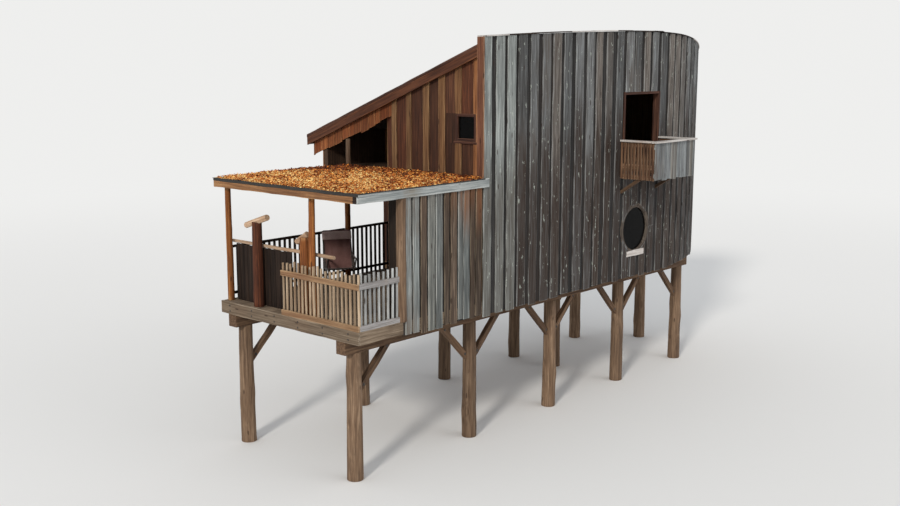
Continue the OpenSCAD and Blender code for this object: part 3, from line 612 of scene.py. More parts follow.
SCREEN = wood("screen_boards", (80, 83, 82), (130, 134, 132), (184, 188, 184), (122, 100, 80), 0.35,
              (196, 197, 190), tint=(236, 218, 192), spread=(0.6, 1.25),
              zones=((SCREEN_PAINTED_SUNLIGHT, (140, 92, 56)), (below(DECK_Z - 1.2, 0.7), (86, 78, 70))))
SCREEN_WARM = wood("screen_warm_boards", (50, 39, 31), (95, 79, 66), (146, 127, 108), (104, 72, 48), 0.4,
                   (166, 150, 128), tint=(255, 222, 196), zones=((SCREEN_PAINTED_SUNLIGHT, (132, 82, 46)),),
                   spread=(0.55, 1.3))
ORANGE = wood("orange_boards", (76, 39, 20), (126, 71, 38), (168, 106, 60), (80, 45, 28), 0.45,
              (196, 142, 96), tint=(255, 212, 168), spread=(0.66, 1.3))
BARS = wood("bar_boards", (56, 37, 26), (98, 67, 46), (138, 104, 76), (66, 46, 36), 0.45,
            (176, 146, 118), tint=(226, 226, 226))
LOG = wood("orange_log", (96, 51, 23), (152, 92, 44), (194, 137, 78), (102, 58, 31), 0.4, (208, 168, 118))
GREY_LOG = wood("weathered_log", (70, 53, 41), (114, 91, 71), (154, 128, 104), (84, 60, 45))
RED_LOG = wood("red_log", (44, 22, 13), (82, 43, 26), (116, 67, 41), (54, 31, 21))
PALE_LOG = wood("pale_log", (148, 118, 92), (196, 166, 138), (226, 202, 178), (156, 118, 88), 0.3)
STILT_LOG = wood("stilt_log", (76, 58, 44), (120, 96, 75), (156, 132, 108), (80, 64, 52), 0.5)
PICKET = wood("pale_picket", (128, 106, 84), (174, 152, 126), (208, 188, 162), (130, 104, 80))
GREY_PICKET = wood("grey_picket", (122, 122, 120), (172, 173, 171), (208, 210, 208), (138, 124, 108), 0.35)
PLANK = wood("grey_plank", (118, 112, 108), (166, 162, 160), (200, 198, 196), (150, 122, 98))
DECK = wood("deck_boards", (88, 74, 60), (132, 114, 95), (166, 148, 126), (90, 72, 57), 0.5, (174, 158, 138))
# Very dark brown; on the boarded railing its darkness is painted shade, the shadow behind the log posts.
DARK_AND_SHADED = wood("dark_boards", (20, 13, 9), (38, 26, 19), (62, 46, 35), (30, 19, 13))
CAP = wood("cap_boards", (150, 142, 136), (190, 182, 176), (216, 210, 204), (160, 134, 116), 0.3,
           (220, 216, 210))
FRAME = wood("frame_boards", (46, 28, 22), (78, 48, 37), (108, 72, 56), (56, 38, 31), 0.4, (120, 84, 66))
RING = wood("ring_boards", (52, 45, 40), (88, 77, 68), (120, 108, 97), (64, 52, 45), 0.4, (134, 124, 112))
PALE_GREY = wood("pale_grey_board", (104, 108, 108), (152, 156, 154), (188, 190, 186), (134, 120, 102), 0.35,
                 (204, 204, 198))
WARM = wood("warm_fascia", (90, 60, 38), (138, 98, 64), (176, 134, 92), (102, 68, 46), 0.45, (200, 160, 116))
VERGE = wood("verge_boards", (60, 34, 22), (98, 58, 38), (138, 89, 60), (68, 42, 29), 0.45, (148, 98, 66))
CORNER_WOOD = wood("corner_board", (70, 42, 30), (108, 68, 49), (142, 98, 74), (76, 50, 39), 0.4,
                   (188, 152, 116))
BEAM = ((66, 48, 36), (104, 80, 60), (138, 110, 84), (74, 56, 42))
INSIDE = ((104, 78, 54), (146, 114, 82), (176, 144, 108), (118, 88, 62))
# Niche: dark boards whose colour is painted shade of the deep recess.
NICHE = ((44, 32, 24), (74, 54, 40), (100, 76, 58), (56, 42, 32))
SHADED = ((24, 17, 13), (42, 31, 24), (62, 48, 38), (32, 24, 18))
TIMBER = wood("timber", *BEAM)


def roofing_felt(name, moss, shade=1.0):
    """Dark mineral felt with grit, faded strips, tarred edges, stains and some moss."""
    f = Finish(name)
    place = f.place()
    grit = f.noise(place, (420, 420, 420), 2.0)
    cloud = f.noise(place, (1.3, 2.2, 1.3), 6.0, 0.65)
    color = f.ramp(cloud, (0.3, (44, 42, 41)), (0.55, (68, 65, 62)), (0.75, (100, 95, 88)))
    color = f.mix(f.remap(grit, 0.4, 0.65, 0.0, 0.5), color, (118, 112, 104))
    color = f.mix(f.remap(f.attribute("tone"), 0.0, 1.0, 0.0, 0.45), color, (104, 100, 96))
    color = f.mix(f.times(f.attribute("wear"), 0.6), color, (34, 32, 32))
    cushion = f.noise(place, (7, 7, 7), 8.0, 0.72)
    eave = f.remap(f.split(place)[1], FACE_Y, REAR_Y, 0.0, moss)
    grown = f.remap(f.plus(cushion, eave), 0.64 - moss, 0.7 - moss)
    green = f.ramp(f.noise(place, (60, 60, 60), 3.0), (0.35, (58, 56, 30)), (0.65, (104, 104, 58)))
    color = f.mix(f.times(grown, 0.85), color, green)
    # A shade below 1 darkens the whole felt: on the drip edge this is painted shade over dark felt.
    color = f.mix(1.0, color, (shade, shade, shade, 1.0), "MULTIPLY")
    height = f.plus(f.times(grit, 0.15), f.times(grown, cushion))
    f.set(Base_Color=color, Roughness=0.92, Normal=f.bump(height, 0.6, 0.012))
    return f.material


def window_pane():
    """Glass painted near-black as painted shade of the dark room behind it, with a faint ripple and dust."""
    f = Finish("window_pane")
    place = f.place()
    ripples = f.noise(place, (2.5, 2.5, 2.5), 2.0)
    dust = f.noise(place, (30, 30, 12), 5.0)
    f.set(Base_Color=(9, 9, 9), Roughness=f.remap(dust, 0.4, 0.75, 0.04, 0.25), Alpha=0.8)
    f.set(Specular_IOR_Level=0.05, Normal=f.bump(ripples, 0.05, 0.01))
    return f.material


def rusty_nail():
    """Dark rusted steel."""
    f = Finish("rusty_nail")
    rust = f.noise(f.place(), (300, 300, 300), 4.0)
    f.set(Base_Color=f.ramp(rust, (0.35, (38, 28, 24)), (0.7, (92, 54, 36))), Roughness=0.75, Metallic=0.5)
    return f.material


def painted_metal():
    """Dark painted bars, rubbed to a dull brown."""
    f = Finish("painted_metal")
    rub = f.noise(f.place(), (26, 26, 26), 5.0)
    color = f.ramp(rub, (0.4, (44, 40, 38)), (0.62, (74, 64, 56)))
    f.set(Base_Color=color, Roughness=f.remap(rub, 0.3, 0.7, 0.4, 0.65), Normal=f.bump(rub, 0.2, 0.001))
    return f.material


def litter_shade_and_drift(f, place):
    """Darker, redder litter towards the wall and the back, partly painted shade of a roof lit from the left,
    in drifts and clumps.
    """
    x, y, _ = f.split(place)
    # The slope towards the wall and the back is partly painted shade.
    inward = f.plus(x, f.times(y, 0.3))
    drift = f.remap(f.noise(place, (1.5, 1.5, 1.5), 5.0, 0.6), 0.32, 0.68, -0.3, 0.3)
    clump = f.remap(f.noise(place, (8, 8, 8), 3.0, 0.6), 0.32, 0.68, -0.32, 0.32)
    return f.plus(f.remap(inward, -5.2, -3.4, 0.22, -0.4), f.plus(drift, clump))


def fallen_litter():
    """Dry leaves and needles: each one has its own tone, from dark brown to pale gold, the palest gold partly
    a painted highlight.
    """
    f = Finish("fallen_litter")
    tone = f.plus(f.attribute("tone"), litter_shade_and_drift(f, f.place()))
    color = f.ramp(tone, (0.0, (74, 33, 16)), (0.26, (152, 76, 30)), (0.52, (220, 126, 50)),
                   (0.78, (250, 170, 76)), (1.0, (255, 218, 142)))
    veins = f.noise(f.attribute("grain", "Vector"), (160, 160, 18), 3.0)
    color = f.mix(f.remap(veins, 0.35, 0.65, 0.25, 0.0), color, (84, 48, 30))
    f.set(Base_Color=color, Roughness=0.85, Normal=f.bump(veins, 0.4, 0.002), Specular_IOR_Level=0.3)
    return f.material


def litter_bed_finish():
    """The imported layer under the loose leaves."""
    f = Finish("litter_bed")
    place = f.place()
    fine = f.noise(place, (40, 40, 40), 8.0, 0.75)
    tone = f.plus(fine, f.times(litter_shade_and_drift(f, place), 0.4))
    color = f.ramp(tone, (0.3, (66, 34, 16)), (0.5, (150, 82, 34)), (0.72, (222, 148, 66)))
    f.set(Base_Color=color, Roughness=0.95, Normal=f.bump(fine, 0.9, 0.02))
    return f.material


def chair_fabric(name, dark, mid, pale):
    """Woven cloth, faded in places."""
    f = Finish(name)
    weave = f.attribute("grain", "Vector")
    threads = 1.0
    for direction in "XZ":
        thread = {"Vector": weave, "Scale": 260.0, "Distortion": 0.6}
        threads = f.times(threads, f.node("TexWave", thread, bands_direction=direction).outputs["Fac"])
    color = f.ramp(f.noise(weave, (5, 5, 3), 5.0), (0.3, dark), (0.55, mid), (0.75, pale))
    color = f.mix(f.remap(threads, 0.0, 0.6, 0.4, 0.0), color, (84, 56, 52))
    f.set(Base_Color=color, Roughness=0.9, Normal=f.bump(threads, 0.4, 0.001), Sheen_Weight=0.2)
    return f.material


# CAD nodes that stay


def bare(node, finish, edge=0.003):
    """A CAD node that stays: its finish and slightly worn edges."""
    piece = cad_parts[node]
    piece.data.materials.clear()
    piece.data.materials.append(finish)
    if edge:
        weld = piece.modifiers.new("weld", "WELD")
        weld.merge_threshold = 0.0002
        bevel = piece.modifiers.new("edge", "BEVEL")
        bevel.width = edge
        bevel.segments = 2
        bevel.limit_method = "ANGLE"


def finish_nodes(felt):
    """The nodes that stay. Walls and floors are boarded, counted along x or y."""
    by_run = {
        "X": ("front_wall_left", "front_wall_lower", "front_wall_over_balcony", "end_wall_front",
              "end_wall_rear", "rear_wall", "terrace_back_wall"),
        "Y": ("end_wall_nose", "terrace_side_wall", "rounded_corner", "gable_wall_front",
              "gable_wall_rear", "gable_wall_upper"),
    }
    for run, nodes in by_run.items():
        inside = wood("inside_boards_" + run.lower(), *INSIDE, axis="Z", run=run)
        for node in nodes:
            bare(node, inside, 0)
    floor = wood("floor_boards", *INSIDE, axis="X", run="Y")
    pane = window_pane()
    for node, finish, edge in (
        ("house_floor", floor, 0),
        ("loft_floor", floor, 0),
        # The niche's wall and floor carry the painted shade of the recess.
        ("niche_rear_wall", wood("niche_shaded_boards", *NICHE, axis="Z", run="X"), 0),
        ("niche_floor", wood("niche_shaded_floor_boards", *NICHE, axis="X", run="Y"), 0),
        ("balcony_floor", wood("balcony_floor_boards", *BEAM, axis="X", run="Y"), 0.003),
        ("screen_wall", wood("screen_back_boards", *SHADED, axis="Z", run="X"), 0.003),
        ("main_beams", wood("main_beam_wood", *BEAM, axis="X"), 0.008),
        ("floor_joists", wood("joist_wood", *BEAM, axis="Y"), 0.005),
        ("main_roof", felt, 0),
        ("window_glass", pane, 0),
        ("round_window_glass", pane, 0),
        ("chair_frame", painted_metal(), 0),
    ):
        bare(node, finish, edge)


# Cladding

COVER_T = 0.024
BASE_T = 0.022
OVERLAP = 0.03
FRONT_COVERS = ((0.31, 0.385), (0.2, 0.265))
GABLE_COVERS = ((0.36, 0.46), (0.12, 0.155))
NAIL_ROWS = 1.1
NAIL_END = 0.12
BLEACHED_COUNT = 3
WINDOW = 0.5
REAR_WINDOWS = (TERRACE_X + 1.1, TERRACE_X + 2.7)
REAR_SILL = DECK_Z + 1.01
GABLE_WINDOW_Y = BOARD_Y + 0.23
GABLE_WINDOW_Z = PORCH_TOP + 0.63
DOOR_START = high("gable_wall_front").y
DOOR_END = low("gable_wall_rear").y
DOOR_HEAD = low("gable_wall_upper").z


def place_on(line, s, lift):
    """Origin and directions of an upright board at a distance along a line."""
    point, outward = line(s)
    out = np.array([*outward, 0.0])
    return np.array([*point, 0.0]) + out * lift, np.cross(Z, out), out, Z


def split(a, b, foot, top, holes):
    """Parts of a board's strip that are left beside, under and over rectangular holes."""
    parts = [(a, b, foot, top)]
    for left, right, sill, head in holes:
        kept = []
        for p, q, z0, z1 in parts:
            crown = z1((p + q) / 2) if callable(z1) else z1
            if q <= left or p >= right or crown <= sill or z0 >= head:
                kept.append((p, q, z0, z1))
                continue
            if z0 < sill:
                kept.append((p, q, z0, sill))
            if crown > head:
                kept.append((p, q, head, z1))
            for start, end in ((p, left), (right, q)):
                if end - start > 0.02:
                    kept.append((start, end, max(z0, sill), min(crown, head)))
        parts = kept
    return parts


def upright(piece, line, a, b, foot, top, lift, thick, rng, tone, circle=None, nails=None):
    """One upright board from a to b along a line, cut round a circle where it meets one."""
    centre, width = (a + b) / 2, b - a
    place = place_on(line, centre, lift)
    sign = 1 if (place_on(line, centre + 0.01, lift)[0] - place[0]) @ place[1] > 0 else -1

    def end(limit):
        return (lambda x: limit(centre + sign * x)) if callable(limit) else limit

    parts = [(foot, top)]
    columns = 2
    if circle and abs(centre - circle[0]) < circle[2] + width / 2 and foot < circle[1]:
        s0, z0, r = circle

        def bow(s):
            return sqrt(max(r * r - (s - s0) ** 2, 0))

        parts = [(foot, lambda s: z0 - bow(s)), (lambda s: z0 + bow(s), top)]
        columns = 9
    for start, finish in parts:
        board(piece, place, width, thick, end(start), end(finish), rng, WANEY, columns=columns, tone=tone)
    if nails:
        first = foot + NAIL_END
        last = (top(centre) if callable(top) else top) - NAIL_END
        for z in np.linspace(first, last, max(2, round((last - first) / NAIL_ROWS))):
            for x in (-0.3 * width, 0.3 * width):
                if circle and hypot(centre + x - circle[0], z - circle[1]) < circle[2]:
                    continue
                stud(nails, place[0] + place[1] * x + place[2] * thick + Z * z, place[2])


def clad(covers, base, nails, line, first, last, foot, top, rng, pitch, width, holes=(), circle=None):
    """Board on board. Each cover board goes to its own piece of covers, and the last piece takes the rest."""
    s = first
    number = 0
    while s < last - 2 * OVERLAP:
        wide = rng.uniform(*width)
        step = max(rng.uniform(*pitch), wide + 2 * OVERLAP)
        right = min(s + wide, last)
        tone = rng.random()
        cover = covers[min(number, len(covers) - 1)]
        ragged = foot + rng.uniform(-0.035, 0.015)
        for p, q, z0, z1 in split(s, right, ragged, top, holes):
            upright(cover, line, p, q, z0, z1, COVER_T, COVER_T, rng, tone, circle, nails)
        gap_end = min(s + step + OVERLAP, last)
        if gap_end > right + 0.01:
            for p, q, z0, z1 in split(right - OVERLAP, gap_end, foot, top, holes):
                upright(base, line, p, q, z0, z1, 0.0, BASE_T, rng, rng.random(), circle)
        s += step
        number += 1


def wall_cladding(nails):
    """The tall front wall, the rounded end and the rear wall."""
    bleached, outer, inner = Piece(), Piece(), Piece()
    frame_low, frame_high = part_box("front_wall_lower")
    doorway = (
        frame_low.x - WALL_LEFT,
        frame_high.x - WALL_LEFT,
        low("balcony_floor").z,
        low("front_wall_over_balcony").z,
    )
    ring_low, ring_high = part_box("round_window_frame")
    radius = (ring_high.x - ring_low.x) / 2
    circle = ((ring_low.x + ring_high.x) / 2 - WALL_LEFT, ring_high.z - radius, radius - 0.02)
    windows = []
    for x in REAR_WINDOWS:
        start = REAR_START + BEND_X - x - WINDOW
        windows.append((start, start + WINDOW, REAR_SILL, REAR_SILL + WINDOW + 0.04))
    rng = default_rng(11)
    for covers, first, last, holes, ring in (
        ([bleached] * BLEACHED_COUNT + [outer], 0.0, REAR_START, [doorway], circle),
        ([outer], REAR_START, WALL_LENGTH, windows, None),
    ):
        clad(covers, inner, nails, wall_line, first, last, WALL_FOOT, wall_top, rng,
             *FRONT_COVERS, holes, ring)
    bleached.build("bleached_cover_boards", BLEACHED, "grey_boards")
    outer.build("wall_cover_boards", SILVER, "grey_boards")
    inner.build("wall_base_boards", SHADOW, "grey_boards")


def gable_cladding(nails):
    """The gable, the rounded corner, the terrace walls and the niche."""
    strips, boards = Piece(), Piece()
    rng = default_rng(5)

    def under_roof(line):
        return lambda s: roof_z(line(s)[0][1]) - ROOF_T - 0.006

    start = GABLE_WINDOW_Y - GABLE_FRONT
    window = (start, start + WINDOW, GABLE_WINDOW_Z - 0.04, GABLE_WINDOW_Z + WINDOW)
    doorway = (DOOR_START - GABLE_FRONT, DOOR_END - GABLE_FRONT, 0.0, DOOR_HEAD)
    under_loft = LOFT_UNDER - 0.005
    for line, first, last, foot, top, holes in (
        (gable_line, 0.0, GABLE_LENGTH, PORCH_TOP + 0.01, under_roof(gable_line), [window]),
        (gable_line, 0.0, GABLE_RUN, DECK_Z, PORCH_CEILING - 0.005, [doorway]),
        (gable_line, GABLE_RUN, GABLE_LENGTH, DECK_Z, under_loft, []),
        (terrace_line, 0.06, TERRACE_LENGTH, DECK_Z, under_loft, []),
        (terrace_line, 0.06, TERRACE_LENGTH, LOFT_Z, under_roof(terrace_line), []),
        (niche_line, 0.0, NICHE_LENGTH, LOFT_Z, under_roof(niche_line), []),
    ):
        clad([strips], boards, nails, line, first, last, foot, top, rng, *GABLE_COVERS, holes)
    strips.build("gable_cover_strips", STRIP, "brown_boards")
    boards.build("gable_boards", BROWN, "brown_boards")


# Porch

POST_R = 0.055
LOG_POST_R = 0.09
NEAR_POST_H = 1.385
NEAR_CAP_H = 1.365
FAR_CAP_H = 1.53
RAIL_Z = (DECK_Z, DECK_Z + 0.69)
PICKET_R = 0.026
PICKET_IN = 0.018
PICKET_PITCH = 0.098
PICKET_TOP = DECK_Z + 0.942
RAFTERS = 7
RAFTER_W = 0.06
RAFTER_H = 0.11
FELT_T = 0.006
DRIP = 0.05
FELT_OVER = 0.012
DECK_PITCH = 0.132
DECK_GAP = 0.007
BAR_PITCH = 0.124
BAR_W = 0.044
RAIL_W = 0.09
BOLT_R = 0.01


def screen_cladding(nails):
    """The boarded screen beside the open front, with boards of uneven width."""
    front, warm, back = Piece(), Piece(), Piece()
    rng = default_rng(23)
    left, right = low("screen_wall").x + 0.03, WALL_LEFT
    y = low("deck_edge_boards").y
    top = low("porch_fascia_front").z + 0.05
    for number, (x, width) in enumerate(courses(rng, left + 0.04, right, (0.11, 0.16), (0.028, 0.06), 0.05)):
        foot = EDGE_Z + rng.uniform(-0.08, 0.02)
        share = (x - width / 2 - left) / (right - left)
        pale = number < 2 or rng.random() > 0.3 + 0.35 * share
        board(front if pale else warm, ((x, y, 0), X, -Y, Z), width, COVER_T, foot, top, rng, 0.005)
        for z in (EDGE_Z + 0.1, DECK_Z + 1.0, top - 0.25):
            for side in (-0.3, 0.3):
                stud(nails, np.array([x + width * side, y - COVER_T, z]), -Y)
    for x, width in courses(rng, left, right, (0.15, 0.24), 0.004, 0.05):
        board(back, ((x, y + COVER_T, 0), X, -Y, Z), width, 0.023, EDGE_Z - 0.02, top, rng)
    front.build("screen_boards", SCREEN, "screen_boards")
    warm.build("screen_warm_boards", SCREEN_WARM, "screen_boards")
    back.build("screen_under_boards", SHADOW, "screen_boards")


def porch_logs():
    """Roof posts, short log posts with their caps, the handrail and the screen's corner log."""
    rng = default_rng(31)
    posts, niche, near, far, caps, pole, corner = (Piece() for _ in range(7))
    lower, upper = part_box("porch_posts")
    left_x, right_x = lower.x + POST_R, GABLE_X - CLADDING - POST_R
    front_y, back_y = lower.y + POST_R, upper.y - POST_R
    short_low, short_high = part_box("log_posts")
    x = short_low.x + LOG_POST_R
    near_y, far_y = short_low.y + LOG_POST_R, short_high.y - LOG_POST_R
    beam = low("porch_rafters").z
    niche_top = roof_z(back_y) - ROOF_T - 0.35
    for piece, spot, foot, top, radii, *shape in (
        (posts, (left_x, front_y), DECK_Z, beam, (0.062, 0.052), 20, 0.08, 0.04, 0.018, 6, 0.115),
        (posts, (left_x, back_y), DECK_Z, beam, (0.06, 0.052), 20, 0.1, 0.03, 0.01, 5, 0.3),
        (posts, (right_x, back_y), DECK_Z, PORCH_CEILING, (0.06, 0.052), 20, 0.1, 0.025, 0.01, 5),
        (niche, (GABLE_X - 0.045, back_y), PORCH_TOP, niche_top, (0.05, 0.048), 20, 0.1),
        (near, (x, near_y), DECK_Z, DECK_Z + NEAR_POST_H, (0.098, 0.084), 28, 0.06, 0.05, 0.012, 7),
        (far, (x, far_y), DECK_Z, short_high.z - 0.01, (0.094, 0.086), 28, 0.07, 0.04, 0.01, 6),
    ):
        post(piece, spot, foot, top, *radii, rng, *shape)
    for y, z, length, radius, tilt, tone in (
        (near_y + 0.06, DECK_Z + NEAR_CAP_H, 0.33, 0.048, 30, 0.7),
        (far_y, DECK_Z + FAR_CAP_H, 0.62, 0.055, 18, 0.27),
    ):
        reach = np.array([0, cos(radians(tilt)), -sin(radians(tilt))]) * length / 2
        middle = np.array([x, y, z])
        log(caps, middle + reach, middle - reach, radius, radius * 1.04, rng, 26, 0.05, 0.05, 0.004, 4, tone)
    (x0, y0, z0), (x1, y1, z1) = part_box("handrail_pole")
    x, z = (x0 + x1) / 2, (z0 + z1) / 2
    log(pole, (x, y0, z), (x, y1, z), 0.033, 0.028, rng, 16, 0.08, 0.04, 0.016, 8)
    (x0, y0, _), (x1, y1, top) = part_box("screen_corner_log")
    post(corner, ((x0 + x1) / 2, (y0 + y1) / 2), DECK_Z, top, 0.084, 0.08, rng, 30, 0.08, 0.035, 0.008, 8)
    posts.build("porch_post_logs", LOG, "log", ["porch_posts"])
    niche.build("niche_post_log", GREY_LOG, "log")
    near.build("near_log_post", LOG, "log")
    far.build("far_log_post", RED_LOG, "log", ["log_posts"])
    caps.build("log_post_tops", PALE_LOG, "pole_wood", ["log_post_caps"])
    pole.build("handrail", PALE_LOG, "pole_wood", ["handrail_pole"])
    corner.build("screen_corner_post", GREY_LOG, "log", ["screen_corner_log"])


def picket(piece, x, y, rng):
    """One round picket, a little crooked and cut at its own height."""
    height = PICKET_TOP + rng.uniform(-0.045, 0.018)
    lean = rng.uniform(-0.008, 0.008, 2)
    radius = PICKET_R * rng.uniform(0.84, 1.0)
    top = (x + lean[0], y + lean[1], height)
    log(piece, (x, y, DECK_Z), top, radius, radius * 0.9, rng, 10, 0.1, 0.06, 0.005, 1)


def picket_fence():
    """Crooked round pickets on two planks, along the front and the left of the porch."""
    rng = default_rng(41)
    for node, name, finish, plank_finish, axis, past in (
        ("railing_front", "front_picket", GREY_PICKET, PLANK, 0, 0.03),
        ("railing_left", "side_picket", PICKET, TAN, 1, 0.0),
    ):
        pickets, planks = Piece(), Piece()
        lower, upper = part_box(node)
        run, inward = (X, Y) if axis == 0 else (Y, X)
        first, last = lower[axis], upper[axis]
        inside = inward * (upper[1 - axis] - PICKET_IN)
        for at in np.linspace(first + PICKET_R, last - PICKET_R, round((last - first) / PICKET_PITCH)):
            picket(pickets, *(run * at + inside)[:2], rng)
        for z in RAIL_Z:
            base = inward * (lower[1 - axis] + 0.025) + Z * (z + 0.0475)
            board(planks, (base, Z, -inward, run), 0.098, COVER_T, first - past, last, rng, *LATH_CUT)
        pickets.build(name + "s", finish, "picket_wood", [node])
        planks.build(name + "_planks", plank_finish, "picket_wood")


def dark_railings():
    """The boarded side behind the log posts, and the barred railing at the back."""
    rng = default_rng(43)
    side, rear = Piece(), Piece()
    lower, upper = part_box("railing_boarded")
    for y, width in courses(rng, lower.y, upper.y, (0.1, 0.16), (0.006, 0.014), 0.04):
        top = upper.z - rng.uniform(0.0, 0.02)
        board(side, ((lower.x + 0.025, y, 0), Y, -X, Z), width, BASE_T, DECK_Z, top, rng)
    for z in (DECK_Z + 0.14, DECK_Z + 0.74):
        board(side, ((lower.x + 0.026, 0, z), Z, X, Y), RAIL_W, COVER_T, lower.y, upper.y, rng)
    lower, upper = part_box("railing_rear")
    right_post = GABLE_X - CLADDING - POST_R
    for first, last in ((lower.x, right_post - 0.05), (right_post + 0.05, upper.x)):
        for x in np.arange(first + 0.025, last - 0.02, BAR_PITCH):
            board(rear, ((x, upper.y, 0), X, -Y, Z), BAR_W, 0.03, DECK_Z, upper.z - 0.04, rng, *SAWN)
        for z in (DECK_Z + 0.117, upper.z - 0.022):
            board(rear, ((0, lower.y, z), Z, Y, X), 0.046, 0.045, first, last, rng, *SAWN)
    # The boarded side's very dark colour is painted shade.
    side.build("boarded_railing", DARK_AND_SHADED, "dark_boards", ["railing_boarded"])
    rear.build("rear_railing_bars", DARK_AND_SHADED, "dark_boards", ["railing_rear"])


def deck_boards():
    """Deck boards with gaps, cut to the house's rounded corner."""
    rng = default_rng(47)
    deck = Piece()
    lower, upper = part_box("porch_deck")

    def right_end(y):
        if y < FACE_Y + WALL_T:
            return WALL_LEFT - FIT
        if y < CORNER[1]:
            return GABLE_X - FIT
        if y < TERRACE_Y:
            return CORNER[0] - sqrt(CORNER_R**2 - (y - CORNER[1]) ** 2) - FIT
        return upper.x

    for middle, width in courses(rng, lower.y, upper.y, DECK_PITCH):
        place = ((0, middle, lower.z + 0.006), Y, Z, X)
        joint = rng.uniform(lower.x + 0.8, lower.x + 2.4)
        width -= DECK_GAP
        board(deck, place, width, 0.034, lower.x, joint, rng, *SAWN, 3)
        board(deck, place, width, 0.034, joint + 0.003,
              lambda x, m=middle: right_end(m + x), rng, *SAWN, 5)
    deck.build("deck_planks", DECK, "deck_wood", ["porch_deck"])


def porch_roof_boards(felt):
    """Boards over the rafters, with felt on them that turns down over the edges."""
    rng = default_rng(53)
    boards, sheet, drip = Piece(), Piece(), Piece()
    lower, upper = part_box("porch_roof")
    side_x, front_y = low("porch_fascia_sides").x, low("porch_fascia_front").y
    back_y = high("porch_fascia_sides").y
    for x, width in courses(rng, lower.x, upper.x, (0.13, 0.17), least=0.02):
        first = lower.y if x + width / 2 < WALL_LEFT + 0.001 else FACE_Y + WALL_T
        board(boards, ((x, 0, upper.z - 0.008), X, -Z, Y), width - 0.004, 0.03, first, upper.y, rng, *SAWN)
    across = (upper.x - lower.x) / 3
    for i in range(3):
        first = side_x - FELT_OVER if i == 0 else lower.x + across * i - 0.05
        last = WALL_LEFT - 0.005 if i == 2 else lower.x + across * (i + 1)
        place = (((first + last) / 2, 0, upper.z - 0.006 + 0.003 * i), X, Z, Y)
        board(sheet, place, last - first, FELT_T, front_y - FELT_OVER, upper.y + 0.05, rng, 0.003, 0.2, 8)
    z = upper.z - DRIP / 2
    board(drip, ((side_x, 0, z), Z, -X, Y), DRIP, FELT_T, front_y - FELT_T, back_y, rng, *FOLDED)
    place = ((0, front_y, upper.z - 0.007), Z, -Y, X)
    board(drip, place, 0.014, 0.005, side_x, WALL_LEFT - 0.005, rng, 0.002, 0.12)
    board(drip, ((0, back_y, z), Z, Y, X), DRIP, FELT_T, side_x, upper.x, rng, *FOLDED)
    boards.build("porch_roof_boards", DECK, "beam_wood", ["porch_roof"])
    sheet.build("porch_roof_felt", felt, "roofing")
    # The drip edge is dark felt, darkened further by 0.35 as painted shade.
    drip.build("porch_roof_drip_edge", roofing_felt("drip_felt_painted_shade", -0.1, 0.35), "roofing")


def edge_boards(bolts):
    """Boards round the deck's edge and round the porch roof, with bolts into the joists."""
    rng = default_rng(57)
    deck, front, warm, corner = (Piece() for _ in range(4))
    lower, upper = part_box("deck_edge_boards")
    thick = low("porch_deck").x - lower.x
    middle, width = (lower.z + upper.z) / 2, upper.z - lower.z
    right = WALL_LEFT - FIT
    shape = (rng, *RIM_CUT)
    board(deck, ((lower.x + thick, 0, middle), Z, -X, Y), width, thick, lower.y, upper.y, *shape)
    board(deck, ((0, lower.y + thick, middle), Z, -Y, X), width, thick, lower.x + thick, right, *shape)
    board(deck, ((0, upper.y - thick, middle), Z, Y, X), width, thick, lower.x + thick, upper.x, *shape)
    for y in np.linspace(lower.y + 0.25, upper.y - 0.25, 6):
        for z in (middle - 0.05, middle + 0.05):
            bolt(bolts, (lower.x, y, z), -X, BOLT_R)

    lower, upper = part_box("porch_fascia_front")
    thick = upper.y - lower.y
    middle, width = (lower.z + upper.z) / 2, upper.z - lower.z
    board(front, ((0, upper.y, middle), Z, -Y, X), width, thick, lower.x, upper.x, *shape, tone=0.13)
    lower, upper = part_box("porch_fascia_sides")
    block = lower.y + 0.09
    back = upper.y - thick
    left = ((lower.x + thick, 0, middle), Z, -X, Y)
    board(warm, left, width, thick, block + 0.003, back, *shape)
    board(warm, ((0, back, middle), Z, Y, X), width, thick, lower.x, upper.x, *shape)
    board(corner, left, width, thick, lower.y, block, rng, *SAWN)
    deck.build("deck_rim_boards", DECK, "deck_wood", ["deck_edge_boards"])
    front.build("front_fascia", PALE_GREY, "fascia_grey", ["porch_fascia_front"])
    warm.build("side_fascias", WARM, "fascia_brown", ["porch_fascia_sides"])
    corner.build("fascia_corner_block", DARK_AND_SHADED, "fascia_brown")


def porch_frame_timbers():
    """Rafters of the porch roof and the beam between them over the left posts."""
    rng = default_rng(58)
    timbers = Piece()
    lower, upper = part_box("porch_rafters")
    foot = PORCH_CEILING - RAFTER_H
    pitch = (upper.y - lower.y - RAFTER_W) / (RAFTERS - 1)
    for i in range(RAFTERS):
        place = ((0, lower.y + RAFTER_W / 2 + i * pitch, foot), Y, Z, X)
        end = WALL_LEFT if i == 0 else GABLE_X
        board(timbers, place, RAFTER_W, RAFTER_H - 0.004, lower.x, end, rng, *TIMBER_CUT, bevel=EASED)
    place = ((low("porch_posts").x + POST_R, 0, foot + 0.002), X, Z, Y)
    for i in range(RAFTERS - 1):
        first = lower.y + RAFTER_W + i * pitch
        last = first + pitch - RAFTER_W
        board(timbers, place, 0.12, RAFTER_H - 0.006, first, last, rng, *TIMBER_CUT, 3, bevel=EASED)
    timbers.build("porch_roof_timbers", TIMBER, "beam_wood", ["porch_rafters"])


# Doors, windows and roof edges

MEMBER = 0.055
SILL = 0.04
LIP = 0.015
VERGE_H = 0.215
STRIP_H = 0.055


